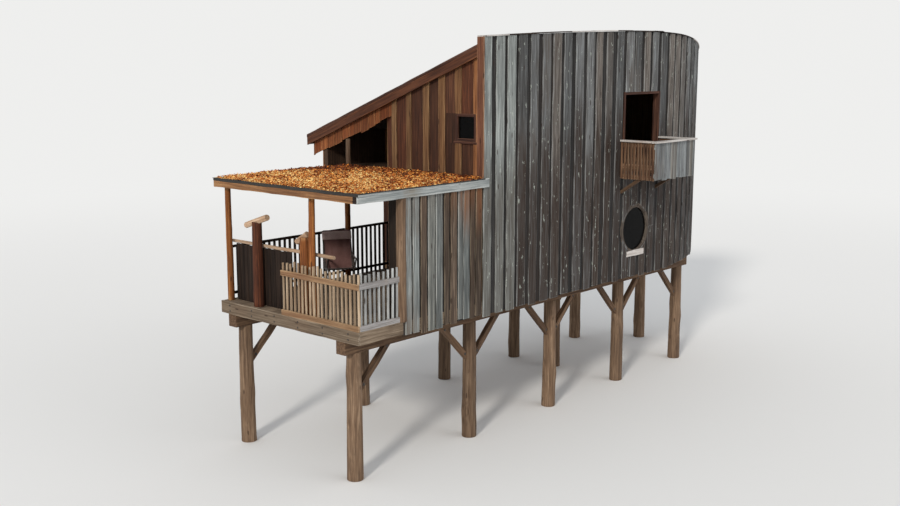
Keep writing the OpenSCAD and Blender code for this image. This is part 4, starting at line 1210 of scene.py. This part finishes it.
def frame_boards(piece, corner, along, out, width, height, depth, rng, sill=0.0):
    """A frame of boards in a wall: stiles, a head and, at a window, a foot rail and a proud sill."""
    corner = np.array(corner, float)
    half = MEMBER / 2
    for x in (half, width - half):
        place = (corner + along * x, along, out, Z)
        board(piece, place, MEMBER, depth, 0.0, height, rng, *PLANED, bevel=0.005)
    for z in (half, height - half) if sill else (height - half,):
        place = (corner + Z * z, Z, out, along)
        board(piece, place, MEMBER, depth - 0.003, MEMBER, width - MEMBER, rng, *PLANED, bevel=0.005)
    if sill:
        place = (corner - Z * sill / 2, Z, out, along)
        board(piece, place, sill, depth + 0.014, -half, width + half, rng, *PLANED, bevel=EASED)


def doors_and_windows():
    """Frames of the doorways, the square windows and the round window."""
    rng = default_rng(63)
    doors, windows = Piece(), Piece()
    depth = WALL_T + GABLE_X - low("door_frames").x
    inner = GABLE_X + WALL_T
    width = DOOR_END - DOOR_START
    frame_boards(doors, (inner, DOOR_START, DECK_Z), Y, -X, width, DOOR_HEAD - DECK_Z, depth, rng)
    place = ((inner, 0, (EDGE_Z + DECK_Z) / 2), Z, -X, Y)
    board(doors, place, DECK_Z - EDGE_Z, WALL_T, DOOR_START, DOOR_END, rng, PLANED[0])
    left, right = low("front_wall_lower").x, BEND_X
    height = low("front_wall_over_balcony").z - LOFT_Z
    frame_boards(doors, (left, FACE_Y + WALL_T, LOFT_Z), X, -Y, right - left, height, depth, rng)
    frame_boards(windows, (inner, GABLE_WINDOW_Y, GABLE_WINDOW_Z), Y, -X, WINDOW, WINDOW, depth, rng, SILL)
    for x in REAR_WINDOWS:
        corner = (x, REAR_Y - WALL_T, REAR_SILL + SILL)
        frame_boards(windows, corner, X, Y, WINDOW, WINDOW, depth, rng, SILL)
    doors.build("doorway_frames", FRAME, "frame_wood", ["door_frames"])
    windows.build("window_frame_boards", FRAME, "frame_wood", ["window_frames"])
    round_window(rng)


def round_window(rng):
    """The round window's ring, sawn from short boards, and the pale plank under it."""
    ring, plank = Piece(), Piece()
    lower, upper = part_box("round_window_frame")
    radius = (upper.x - lower.x) / 2
    centre_x, centre_z = (lower.x + upper.x) / 2, upper.z - radius
    outer, inner = radius - 0.5 * MEMBER, radius - 1.5 * MEMBER
    wall_back = FACE_Y + WALL_T
    segments = 9
    for i in range(segments):
        first = TURN * (i + rng.uniform(-0.06, 0.06)) / segments
        last = TURN * (i + 0.99) / segments
        front = low("door_frames").y + rng.uniform(0.0, 0.004)
        profile = (
            (inner, wall_back),
            (outer, wall_back),
            (outer, FACE_Y),
            (radius, FACE_Y),
            (radius, front + 0.005),
            (radius - 0.005, front),
            (inner + 0.005, front),
            (inner, front + 0.005),
        )
        rings = np.array([
            [[centre_x + cos(angle) * r, y, centre_z + sin(angle) * r] for r, y in profile]
            for angle in np.linspace(first, last, 9)
        ])
        x, y, z = np.moveaxis(rings - rings[4, 0], -1, 0)
        chord = TURN * (i + 0.5) / segments + QUARTER
        across = z * cos(chord) - x * sin(chord)
        along = x * cos(chord) + z * sin(chord)
        grain = np.stack([across, y, along + rng.uniform(0, 30)], -1)
        ring.sweep(rings, grain, rng.random(), np.tile([0, 0, 0, 1, 1, 0.3, 0.3, 1], 9))
    ring.build("round_window_ring", RING, "frame_wood", ["round_window_frame"])
    half, width = 0.6 * radius, 0.12
    place = ((0, FACE_Y - 0.002, lower.z + width / 2 - 0.004), Z, -Y, X)
    thick = FACE_Y - lower.y
    board(plank, place, width, thick, centre_x - half, centre_x + half, rng, 0.005, 0.1, 3, 0.13)
    plank.build("round_window_plank", CAP, "grey_boards")


def roof_edges():
    """Verge and eaves boards under a dark strip, and the board at the gable's corner."""
    rng = default_rng(69)
    verge, strip, corner = Piece(), Piece(), Piece()
    lower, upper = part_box("roof_edge_boards")
    thick = WALL_LEFT - lower.x
    length = (upper.y - lower.y) / SLOPE_COS
    parts = ((STRIP_H, 0.0, strip, thick), (VERGE_H - STRIP_H, STRIP_H, verge, thick - 0.006))

    def plumb(u):
        return -u * SLOPE

    for height, lift, piece, size in parts:
        base = (WALL_LEFT, lower.y, roof_z(lower.y) + LIP - lift - height / 2)
        board(piece, (base, OUT_OF_ROOF, -X, DOWN_ROOF), height * SLOPE_COS, size,
              plumb, lambda u: length + plumb(u), rng, *TIMBER_CUT, 3)
    for height, lift, piece, size in parts:
        base = (0, ROOF_BACK, roof_z(ROOF_BACK) + LIP - lift - height / 2)
        board(piece, (base, Z, Y, X), height, size, WALL_LEFT, upper.x, rng, *TIMBER_CUT, 3)
    verge.build("verge_and_eaves_boards", VERGE, "fascia_brown", ["roof_edge_boards"])
    strip.build("roof_edge_strips", FRAME, "fascia_brown")
    lower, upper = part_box("corner_board")
    place = ((upper.x, (lower.y + upper.y) / 2, 0), -Y, -X, Z)
    board(corner, place, upper.y - lower.y, upper.x - lower.x, lower.z, upper.z, rng, *RIM_CUT)
    corner.build("corner_cover_board", CORNER_WOOD, "brown_boards", ["corner_board"])


# Litter

LEAF_CLUMPS = 3000
LEAVES_EACH = 8
NEEDLES = 4000
RIM_LEAVES = 900
WALL_LEAVES = 1500
DRIFT_LEAVES = 3200
STRAY_LEAVES = 900
BED_COLUMNS = 130
BED_ROWS = 150


def litter_top(u, v, x, y):
    """Height of the fallen layer's top, from shares of the roof's length and width, with small lumps."""
    swell = 0.62 + 0.2 * np.sin(np.radians(520 * u + 140 * v)) + 0.18 * np.sin(np.radians(610 * v - 260 * u))
    rim = np.clip(np.sin(pi * u) * np.sin(pi * v), 0, 1) ** 0.4
    edge = np.clip(np.minimum.reduce([u, 1 - u, v, 1 - v]) * 30, 0, 1)
    lumps = np.zeros_like(x)
    rng = default_rng(59)
    for _ in range(26):
        angle, k = rng.uniform(0, pi), rng.uniform(9, 60)
        lumps += np.sin(k * (x * cos(angle) + y * sin(angle)) + rng.uniform(0, 6)) / k**0.5
    return PORCH_TOP + (0.006 + 0.05 * rim * swell) + 0.006 * lumps * edge


def scatter(piece, x, y, z, rng, size, slim):
    """Bent leaves, or slim needles, one at each point."""
    count = len(x)
    length = rng.uniform(*size, count)
    width = length * rng.uniform(*slim, count)
    turn = rng.uniform(0, TURN, count)
    tilt = rng.normal(0, 0.25, count)
    roll = rng.normal(0, 0.35, count)
    ahead = np.stack([np.cos(turn) * np.cos(tilt), np.sin(turn) * np.cos(tilt), np.sin(tilt)], -1)
    flat = np.stack([-np.sin(turn), np.cos(turn), np.zeros(count)], -1)
    up = np.cross(ahead, flat)
    side = flat * np.cos(roll)[:, None] + up * np.sin(roll)[:, None]
    lift = up * (length * rng.uniform(0.05, 0.25, count))[:, None]
    middle = np.stack([x, y, z], -1)
    half, wide = ahead * length[:, None] / 2, side * width[:, None] / 2
    corners = np.stack([middle - half, middle - wide + lift, middle + half, middle + wide + lift], 1)
    first = np.arange(count)[:, None] * 4
    faces = np.concatenate([first + [0, 1, 3], first + [1, 2, 3]]).tolist()
    leaf = np.array([[0, 0, -0.5], [0, -0.5, 0], [0, 0, 0.5], [0, 0.5, 0]])
    grain = np.stack([width * 0, width, length], -1)[:, None, :] * leaf
    tone = np.repeat(rng.random(count), 4)
    grain = grain + rng.uniform(0, 9, (count, 1, 1))
    piece.add(corners.reshape(-1, 3), faces, grain.reshape(-1, 3), tone)


def litter_bed(lower, upper):
    """A closed bed of needles and leaves as a grid of heights over the porch roof."""
    u, v = np.meshgrid(np.linspace(0, 1, BED_COLUMNS), np.linspace(0, 1, BED_ROWS))
    x, y = lower.x + (upper.x - lower.x) * u, lower.y + (upper.y - lower.y) * v
    z = np.maximum(litter_top(u, v, x, y), PORCH_TOP + 0.002)
    top = np.stack([x, y, z], -1).reshape(-1, 3)
    under = np.stack([x, y, np.full_like(x, PORCH_TOP)], -1).reshape(-1, 3)
    i, j = np.meshgrid(np.arange(BED_ROWS - 1), np.arange(BED_COLUMNS - 1), indexing="ij")
    a = (i * BED_COLUMNS + j).ravel()
    quads = np.stack([a, a + 1, a + BED_COLUMNS + 1, a + BED_COLUMNS], -1)
    count = len(top)
    ring = np.concatenate([
        np.arange(BED_COLUMNS - 1),
        np.arange(BED_ROWS - 1) * BED_COLUMNS + BED_COLUMNS - 1,
        np.arange(BED_COLUMNS - 1, 0, -1) + (BED_ROWS - 1) * BED_COLUMNS,
        np.arange(BED_ROWS - 1, 0, -1) * BED_COLUMNS,
    ])
    after = np.roll(ring, -1)
    skirt = np.stack([ring, ring + count, after + count, after], -1)
    points = np.concatenate([top, under])
    bed = Piece()
    bed.add(points, np.concatenate([quads, quads[:, ::-1] + count, skirt]).tolist(), points)
    bed.build("litter_bed", litter_bed_finish(), "leaf_litter", ["roof_litter"], 60)


def porch_litter():
    """Leaves and needles over the porch roof's bed, along its open edges and against the wall."""
    lower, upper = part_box("roof_litter")
    litter_bed(lower, upper)
    rng = default_rng(61)
    loose = Piece()
    size = np.array([upper.x - lower.x, upper.y - lower.y])
    clumps = rng.uniform(0.0, 1.0, (LEAF_CLUMPS, 2)) * size
    leaves = np.repeat(clumps, LEAVES_EACH, 0) + rng.normal(0, 0.055, (LEAF_CLUMPS * LEAVES_EACH, 2))
    needles = rng.uniform(0.0, 1.0, (NEEDLES, 2)) * size
    for spread, lengths, slim, heap in (
        (leaves, (0.025, 0.065), (0.35, 0.75), 0.012),
        (needles, (0.04, 0.09), (0.04, 0.08), 0.004),
    ):
        u, v = np.clip(spread / size, 0.003, 0.997).T
        x, y = lower.x + size[0] * u, lower.y + size[1] * v
        z = litter_top(u, v, x, y) + 0.003 + np.abs(rng.normal(0, heap, len(x)))
        scatter(loose, x, y, z, rng, lengths, slim)
    x = rng.uniform(lower.x - 0.03, upper.x - 0.12, RIM_LEAVES)
    y = lower.y - 0.02 + rng.uniform(-1, 1, RIM_LEAVES) * 0.03
    z = np.full(RIM_LEAVES, PORCH_TOP + 0.009)
    scatter(loose, x, y, z, rng, (0.02, 0.05), (0.3, 0.7))
    x = lower.x - 0.02 + rng.uniform(-1, 1, RIM_LEAVES) * 0.03
    y = rng.uniform(lower.y, upper.y, RIM_LEAVES)
    scatter(loose, x, y, z, rng, (0.02, 0.05), (0.3, 0.7))
    y = GABLE_FRONT + rng.uniform(0, 1, WALL_LEAVES) * (upper.y - GABLE_FRONT)
    x = GABLE_X - CLADDING - 0.01 - np.abs(rng.normal(0, 0.05, WALL_LEAVES))
    scatter(loose, x, y, np.full(WALL_LEAVES, PORCH_TOP + 0.012), rng, (0.02, 0.07), (0.1, 0.5))
    loose.build("loose_needles", fallen_litter(), "leaf_litter", crease=180)


# Roof

CAPPING_T = 0.02
FELT_STRIPS = 5
FELT_LAP = 0.06
FELT_DRIP = 0.03
FELT_GAP = 0.006


def roof_span(y):
    """Right end of the main roof's felt at a distance y, just inside the wall."""
    inner = WALL_T + FELT_GAP
    if y > REAR_Y - inner:
        return BEND_X
    depth = abs(y - MID_Y)
    nose = NOSE_R - inner
    if depth < nose * cos(END_TURN):
        return NOSE_X + sqrt(nose**2 - depth**2)
    drop = END_R - HALF_DEPTH + depth
    return BEND_X + sqrt(max((END_R - inner) ** 2 - drop**2, 0))


def main_roof_felt(felt):
    """Lapped strips of felt along the roof, and the upstand inside the parapet."""
    rng = default_rng(67)
    strips, upstand = Piece(), Piece()
    run = (ROOF_BACK - ROOF_FRONT) / SLOPE_COS
    width = run / FELT_STRIPS
    behind_wall = (REAR_Y - WALL_T - FELT_GAP - ROOF_FRONT) / SLOPE_COS
    strip_ends = [(i * width, (i + 1) * width + FELT_LAP) for i in range(FELT_STRIPS - 1)]
    strip_ends += [(strip_ends[-1][1] - FELT_LAP, behind_wall), (behind_wall, run + FELT_DRIP)]
    for i, (first, last) in enumerate(strip_ends):
        middle = (first + last) / 2
        level = 0.002 + 0.005 * max(FELT_STRIPS - 1 - i, 0)
        base = np.array([0, ROOF_FRONT, ROOF_RIDGE]) + DOWN_ROOF * middle + OUT_OF_ROOF * level
        board(strips, (base, DOWN_ROOF, OUT_OF_ROOF, X), last - first, FELT_T, WALL_LEFT + 0.002,
              lambda x, m=middle: roof_span(ROOF_FRONT + (m + x) * SLOPE_COS), rng, 0.0, 0.5, 14)
    rings = []
    for s in np.linspace(0.0, REAR_START, 90):
        point, outward = wall_line(s)
        face = point - outward * (WALL_T + 0.001)
        inside = point - outward * (WALL_T + 0.009)
        foot, top = roof_z(face[1]), wall_top(s) - 0.05
        rings.append([[*inside, foot], [*face, foot], [*face, top], [*inside, top]])
    rings = np.array(rings)
    upstand.sweep(rings, rings, flip=True)
    strips.build("main_roof_felt", felt, "roofing")
    upstand.build("parapet_upstand", felt, "roofing")


def main_roof_litter():
    """Needles and leaves along the foot of the parapet and here and there on the roof."""
    rng = default_rng(103)
    loose = Piece()
    along = rng.uniform(0.3, REAR_START - 1.2, DRIFT_LEAVES)
    inside = WALL_T + 0.02 + np.abs(rng.normal(0, 0.09, DRIFT_LEAVES))
    spots = [wall_line(s) for s in along]
    drift = np.array([point - outward * gap for (point, outward), gap in zip(spots, inside)])
    nearest, farthest = (WALL_LEFT + 0.1, FACE_Y + 0.3), (BEND_X + 0.8, ROOF_BACK - 0.1)
    stray = rng.uniform(nearest, farthest, (STRAY_LEAVES, 2))
    stray[:, 0] = np.minimum(stray[:, 0], [roof_span(y) - 0.05 for y in stray[:, 1]])
    x, y = np.concatenate([drift, stray]).T
    z = roof_z(y) + 0.036 + np.abs(rng.normal(0, 0.006, len(y)))
    scatter(loose, x, y, z, rng, (0.03, 0.08), (0.08, 0.5))
    loose.build("main_roof_needles", fallen_litter(), "leaf_litter", crease=180)


def wall_capping():
    """Thin boards on top of the tall wall, dark or pale, in lengths that follow its curve."""
    rng = default_rng(71)
    dark, pale = Piece(), Piece()
    joints = [0.0]
    while joints[-1] < REAR_START - 0.5:
        joints.append(min(joints[-1] + rng.uniform(0.5, 1.2), REAR_START))
    joints[-1] = REAR_START
    for first, last in zip(joints, joints[1:]):
        lift = rng.uniform(0.0, 0.006)
        capping = pale if rng.random() < 0.35 else dark
        rings = []
        for s in np.linspace(first + 0.002, last - 0.002, 9):
            point, outward = wall_line(s)
            z = wall_top(s) + 0.001 + lift
            front = point + outward * (CLADDING + 0.014)
            back = point - outward * (WALL_T + 0.02)
            top = z + CAPPING_T
            rings.append([[*front, z], [*front, top], [*back, top], [*back, z]])
        rings = np.array(rings)
        grain = np.empty_like(rings)
        grain[..., 0] = np.array([0, 0, 0.18, 0.18]) + rng.uniform(-0.1, 0.1)
        grain[..., 1] = [0.1, 0.12, 0.12, 0.1]
        grain[..., 2] = np.linspace(first, last, 9)[:, None] + rng.uniform(0, 30)
        capping.sweep(rings, grain, rng.random(), 1.0)
    end = (REAR_Y - WALL_T + REAR_Y + CLADDING) / 2
    width = WALL_T + CLADDING + 0.03
    foot, top = roof_z(REAR_Y) - 0.05, wall_top(REAR_START - 0.001)
    board(dark, ((BEND_X + 0.002, end, 0), -Y, -X, Z), width, CAPPING_T, foot, top, rng)
    dark.build("dark_wall_capping", DARK_AND_SHADED, "cap_wood")
    pale.build("pale_wall_capping", CAP, "cap_wood")


def header_boards():
    """Short uneven boards that close the gable above the niche."""
    rng = default_rng(73)
    header = Piece()
    lower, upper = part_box("niche_header")
    for middle, width in courses(rng, lower.y, upper.y, (0.14, 0.26)):

        def under_roof(drop, m=middle):
            return lambda x: roof_z(m + x) - ROOF_T - drop

        foot = under_roof(rng.uniform(0.3, 0.37))
        width -= rng.uniform(0.004, 0.012)
        thick = rng.uniform(0.02, 0.028)
        place = ((GABLE_X - 0.002, middle, 0), Y, -X, Z)
        board(header, place, width, thick, foot, under_roof(FIT), rng, 0.004, 0.1)
    header.build("niche_header_boards", ORANGE, "brown_boards", ["niche_header"])


# Support

STILT_R = 0.14
STILT_TOP_R = 0.122
STILT_IN = 0.1
STILT_PITCH = 2.5
BEAM_W = 0.22
BRACE_T = 0.1
BRACE_REACH = 0.84
DIAGONAL = sqrt(2)


def stilt_places():
    """Each stilt's centre and the sides on which a brace meets it."""
    lower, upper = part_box("stilts")
    xs = [lower.x + STILT_R] + [GABLE_X + STILT_IN + i * STILT_PITCH for i in range(4)]
    places = []
    for y in (low("main_beams").y + BEAM_W / 2, high("main_beams").y - BEAM_W / 2):
        places += [(x, y, [side for side in (-1, 1) if 0 <= i + side <= 4]) for i, x in enumerate(xs)]
    return places + [(xs[3], MID_Y, [1]), (upper.x - STILT_R, MID_Y, [-1])]


def stilts():
    """Peeled logs under the house, wider at the foot."""
    rng = default_rng(79)
    legs = Piece()
    for x, y, _ in stilt_places():
        post(legs, (x, y), 0.0, high("stilts").z, STILT_R, STILT_TOP_R, rng, 34, 0.1, 0.035, 0.012, 9)
    legs.build("stilt_logs", STILT_LOG, "log", ["stilts"])


def knee_braces(bolts):
    """Braces at 45 degrees between stilts and beams, with a bolt at each end."""
    rng = default_rng(80)
    braces = Piece()
    half = sqrt(0.5)
    rise = BRACE_T * DIAGONAL
    foot = low("main_beams").z - BRACE_REACH + rise / 2
    top = (BRACE_REACH - rise / 2) * DIAGONAL
    for x, y, sides in stilt_places():
        for side in sides:
            across, along = (-side * half, 0, half), (side * half, 0, half)
            place = ((x, y - BRACE_T / 2, foot), across, Y, along)
            board(braces, place, BRACE_T, BRACE_T, lambda u: u + 0.07 * DIAGONAL, lambda u: top - u,
                  rng, 0.005, 0.2, 3, bevel=0.01)
            for share in (0.2, 0.93):
                at = (top * share + 0.03) * half
                for out in (-Y, Y):
                    bolt(bolts, np.array([x + side * at, y, foot + at]) + out * BRACE_T / 2, out)
    braces.build("knee_brace_timbers", TIMBER, "beam_wood", ["knee_braces"])


# Balcony

BRACKET_W = 0.08
CAP_W = 0.13
CAP_T = 0.036


def balcony():
    """Grey front boards, orange-brown bars at the sides and a pale cap."""
    rng = default_rng(83)
    front, bars, cap = Piece(), Piece(), Piece()
    lower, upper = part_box("balcony_front")
    for x, width in courses(rng, lower.x, upper.x, (0.11, 0.17)):
        width -= rng.uniform(0.006, 0.014)
        foot = lower.z + rng.uniform(0, 0.03)
        place = ((x, lower.y + COVER_T, 0), X, -Y, Z)
        board(front, place, width, BASE_T, foot, upper.z, rng, *TRIMMED)
    for z in (lower.z + 0.1, upper.z - 0.08):
        board(front, ((0, lower.y + 0.026, z), Z, Y, X), RAIL_W, COVER_T, lower.x, upper.x, rng)
    lower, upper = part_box("balcony_sides")
    for x, out in ((lower.x + 0.026, -X), (upper.x - 0.026, X)):
        for y, width in courses(rng, lower.y, BOARD_Y, (0.04, 0.055), (0.022, 0.034)):
            foot = lower.z + rng.uniform(0, 0.02)
            board(bars, ((x, y, 0), Y, out, Z), width, BASE_T, foot, upper.z, rng, *TRIMMED)
        for z in (lower.z + 0.05, LOFT_Z - 0.03, upper.z - 0.05):
            board(bars, ((x, 0, z), Z, -out, Y), RAIL_W, BASE_T, lower.y, FACE_Y, rng)
    lower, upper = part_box("balcony_cap")
    half, foot = CAP_W / 2, lower.z + 0.002
    shape = (rng, *TRIMMED, 3)
    board(cap, ((0, lower.y + half, foot), Y, Z, X), CAP_W, CAP_T, lower.x, upper.x, *shape)
    first, last = lower.y + CAP_W + 0.002, BOARD_Y + 0.01
    for x in (lower.x + half, upper.x - half):
        board(cap, ((x, 0, foot), X, Z, Y), CAP_W - 0.002, CAP_T, first, last, *shape)
    front.build("balcony_front_boards", GREY, "grey_boards", ["balcony_front"])
    bars.build("balcony_side_bars", BARS, "balcony_wood", ["balcony_sides"])
    cap.build("balcony_cap_boards", CAP, "cap_wood", ["balcony_cap"])


def balcony_brackets(bolts):
    """A joist under each side of the balcony and a strut from it to the wall."""
    rng = default_rng(85)
    timbers = Piece()
    lower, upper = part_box("balcony_brackets")
    half = BRACKET_W / 2
    joist = upper.z - BRACKET_W
    for x in (lower.x + half, upper.x - half):
        place = ((x, 0, joist), X, Z, Y)
        board(timbers, place, BRACKET_W, BRACKET_W, lower.y, FACE_Y, rng, 0.002, 0.15, bevel=EASED)
        start = np.array([x, lower.y + 1.5 * BRACKET_W, joist - 0.01])
        end = np.array([x, FACE_Y, lower.z + 0.6 * BRACKET_W])
        length = np.linalg.norm(end - start)
        along = (end - start) / length
        out = np.cross(X, along)
        place = (start - out * 0.03, X, out, along)
        reach = length + 0.03 * out[1] / along[1]
        board(timbers, place, 0.07, 0.06, 0.0, reach, rng, 0.002, 0.1, bevel=EASED)
        for y, z in ((lower.y + 0.6 * BRACKET_W, joist + half), (FACE_Y - 0.08, lower.z + 0.13)):
            for out in (-X, X):
                bolt(bolts, np.array([x, y, z]) + out * half, out, 0.009)
    timbers.build("balcony_bracket_timbers", TIMBER, "beam_wood", ["balcony_brackets"])


# Chair

CHAIR_AT = (2.25, 2.9)
CHAIR_TURN = radians(-35)
CHAIR_HALF = (0.28, 0.4)
CHAIR_W = 0.56
CLOTH_LEFT = 0.025
CLOTH_W = 0.51
BACK_LOW = np.array([0.53, 0.41])
BACK_TOP = np.array([0.84, 1.038])
HEADREST_SIDE = -0.005


def chair_point(x, y, z):
    """A point of the chair's own frame, placed on the deck."""
    x, y = x - CHAIR_HALF[0], y - CHAIR_HALF[1]
    plan_x = low("porch_fascia_front").x + CHAIR_AT[0] + x * cos(CHAIR_TURN) - y * sin(CHAIR_TURN)
    plan_y = high("porch_fascia_front").y + CHAIR_AT[1] + x * sin(CHAIR_TURN) + y * cos(CHAIR_TURN)
    return [plan_x, plan_y, DECK_Z + z]


def chair_cloth():
    """The cloth sling from the front bar over the seat and up to the top bar."""
    line = [(0.045, 0.452)]
    for t in np.arange(1, 13) / 12:
        line.append((0.06 + 0.47 * t, 0.452 - 0.07 * t - 0.045 * sin(pi * t)))
    for t in np.arange(1, 21) / 20:
        line.append((0.52 + 0.31 * t + 0.027 * sin(pi * t), 0.41 + 0.635 * t))
    line = np.array([*line, (0.835, 1.062), (0.86, 1.055)])
    travel = np.concatenate([[0], np.cumsum(np.linalg.norm(np.diff(line, axis=0), axis=1))])
    columns = 17
    points, grain = [], []
    for (y, z), s in zip(line, travel):
        for x in np.linspace(CLOTH_LEFT, CLOTH_LEFT + CLOTH_W, columns):
            across, along = (x - CLOTH_LEFT) / CLOTH_W, s / travel[-1]
            hollow = 0.012 * sin(pi * across) * sin(pi * along)
            points.append(chair_point(x, y + hollow * 0.5, z - hollow))
            grain.append((x, 0.0, s))
    corners = [i * columns + j for i in range(len(line) - 1) for j in range(columns - 1)]
    faces = [[a, a + 1, a + columns + 1, a + columns] for a in corners]
    cloth = Piece()
    cloth.add(np.array(points), faces, np.array(grain))
    fabric = chair_fabric("chair_fabric", (96, 64, 59), (122, 86, 80), (146, 110, 103))
    piece = cloth.build("chair_cloth", fabric, "chair_cloth", ["chair_sling"], 180)


def chair_headrest():
    """The padded band across the top of the back, a little wider than the cloth."""
    length = np.linalg.norm(BACK_TOP - BACK_LOW)
    along = (BACK_TOP - BACK_LOW) / length
    toward = np.array([-along[1], along[0]])
    middle = length - 0.095
    rings, grain = [], []
    for x in np.linspace(0.0, 1.0, 29):
        bulge = max(1 - abs(2 * x - 1) ** 6, 0.0) ** 0.5
        reach = 0.085 * (0.9 + 0.1 * bulge)
        depth = 0.004 + 0.013 * bulge
        lift = 0.034 - 0.3 * depth
        ring = []
        for angle in np.linspace(0, TURN, 28, endpoint=False):
            c, s = cos(angle), sin(angle)
            seam = 1 - 0.35 * exp(-((c * 5) ** 2))
            offset = middle + reach * copysign(abs(c) ** 0.75, c)
            y, z = BACK_LOW + along * offset + toward * (lift + depth * seam * s)
            ring.append(chair_point(HEADREST_SIDE + x * (CHAIR_W - 2 * HEADREST_SIDE), y, z))
            grain.append((x * CHAIR_W, 0.0, offset))
        rings.append(ring)
    pad = Piece()
    pad.sweep(np.array(rings), np.array(grain))
    cloth = chair_fabric("headrest_fabric", (204, 174, 167), (230, 203, 196), (246, 224, 218))
    piece = pad.build("chair_headrest", cloth, "chair_cloth", (), 180)


# Stage, light and camera

CAMERA_AT = (-17.985, -14.355, 7.008)
CAMERA_HEADING = radians(41.9)
CAMERA_PITCH = radians(10.0)
CAMERA_LENS = 43.5
HAZE = (0.86, 0.86, 0.85, 1)


def backdrop():
    """A plain pale floor that fades into the pale background."""
    f = Finish("studio_floor")
    far = f.remap(f.node("VectorMath", {0: f.place()}, operation="LENGTH").outputs["Value"], 16.0, 42.0)
    f.set(Base_Color=(0.82, 0.81, 0.79, 1), Roughness=0.9, Specular_IOR_Level=0.1)
    glow = f.node("Emission", {"Color": HAZE, "Strength": 1.0}).outputs[0]
    mixed = f.node("MixShader", {0: far, 1: f.shader.outputs[0], 2: glow}).outputs[0]
    f.feed(f.tree.nodes["Material Output"].inputs["Surface"], mixed)
    bpy.ops.mesh.primitive_circle_add(vertices=96, radius=90, fill_type="NGON", location=(0, 0, -0.001))
    floor = bpy.context.object
    floor.name = "studio_floor"
    floor.data.materials.append(f.material)


def sky():
    """An even pale world, which the camera sees at its own colour."""
    world = bpy.data.worlds.new("studio")
    bpy.context.scene.world = world
    world.use_nodes = True
    nodes, link = world.node_tree.nodes, world.node_tree.links.new
    lit = nodes["Background"]
    lit.inputs["Color"].default_value = (0.93, 0.96, 1.0, 1)
    lit.inputs["Strength"].default_value = 0.7
    seen = nodes.new("ShaderNodeBackground")
    seen.inputs["Color"].default_value = HAZE
    path = nodes.new("ShaderNodeLightPath")
    either = nodes.new("ShaderNodeMath")
    either.operation = "MAXIMUM"
    link(path.outputs["Is Camera Ray"], either.inputs[0])
    link(path.outputs["Is Glossy Ray"], either.inputs[1])
    choose = nodes.new("ShaderNodeMixShader")
    for i, source in enumerate((either, lit, seen)):
        link(source.outputs[0], choose.inputs[i])
    link(choose.outputs[0], nodes["World Output"].inputs["Surface"])


def placed(name, data):
    """A lamp or camera in the scene, turned by quaternion."""
    item = bpy.data.objects.new(name, data)
    item.rotation_mode = "QUATERNION"
    bpy.context.collection.objects.link(item)
    return item


def sun(name, toward, strength, color, softness):
    """A soft distant lamp that shines in a direction."""
    data = bpy.data.lights.new(name, "SUN")
    data.energy = strength
    data.color = color
    data.angle = radians(softness)
    placed(name, data).rotation_quaternion = Vector(toward).to_track_quat("-Z", "Y")


def camera():
    """The photograph's viewpoint and viewing angle, with a longer lens."""
    data = bpy.data.cameras.new("camera")
    data.lens = CAMERA_LENS
    data.clip_end = 400
    eye = placed("camera", data)
    eye.location = CAMERA_AT
    flat = cos(CAMERA_PITCH)
    ahead = (cos(CAMERA_HEADING) * flat, sin(CAMERA_HEADING) * flat, -sin(CAMERA_PITCH))
    eye.rotation_quaternion = Vector(ahead).to_track_quat("-Z", "Y")
    bpy.context.scene.camera = eye


felt = roofing_felt("roofing_felt", 0.0)
finish_nodes(felt)
nails, bolts = Piece(), Piece()
wall_cladding(nails)
gable_cladding(nails)
screen_cladding(nails)
nails.build("nail_heads", rusty_nail(), "chair_metal")
porch_logs()
picket_fence()
dark_railings()
deck_boards()
porch_roof_boards(felt)
porch_frame_timbers()
porch_litter()
main_roof_felt(roofing_felt("mossy_felt", 0.072))
main_roof_litter()
wall_capping()
header_boards()
roof_edges()
doors_and_windows()
stilts()
balcony()
edge_boards(bolts)
knee_braces(bolts)
balcony_brackets(bolts)
bolts.build("bolts", painted_metal(), "chair_metal")
chair_cloth()
chair_headrest()
backdrop()
sky()
sun("key", (0.80, 0.32, -0.46), 1.8, (1.0, 0.96, 0.9), 8)
sun("fill", (-0.3, 0.85, -0.35), 0.45, (0.95, 0.97, 1.0), 40)
camera()
bpy.context.scene.view_settings.view_transform = "Standard"
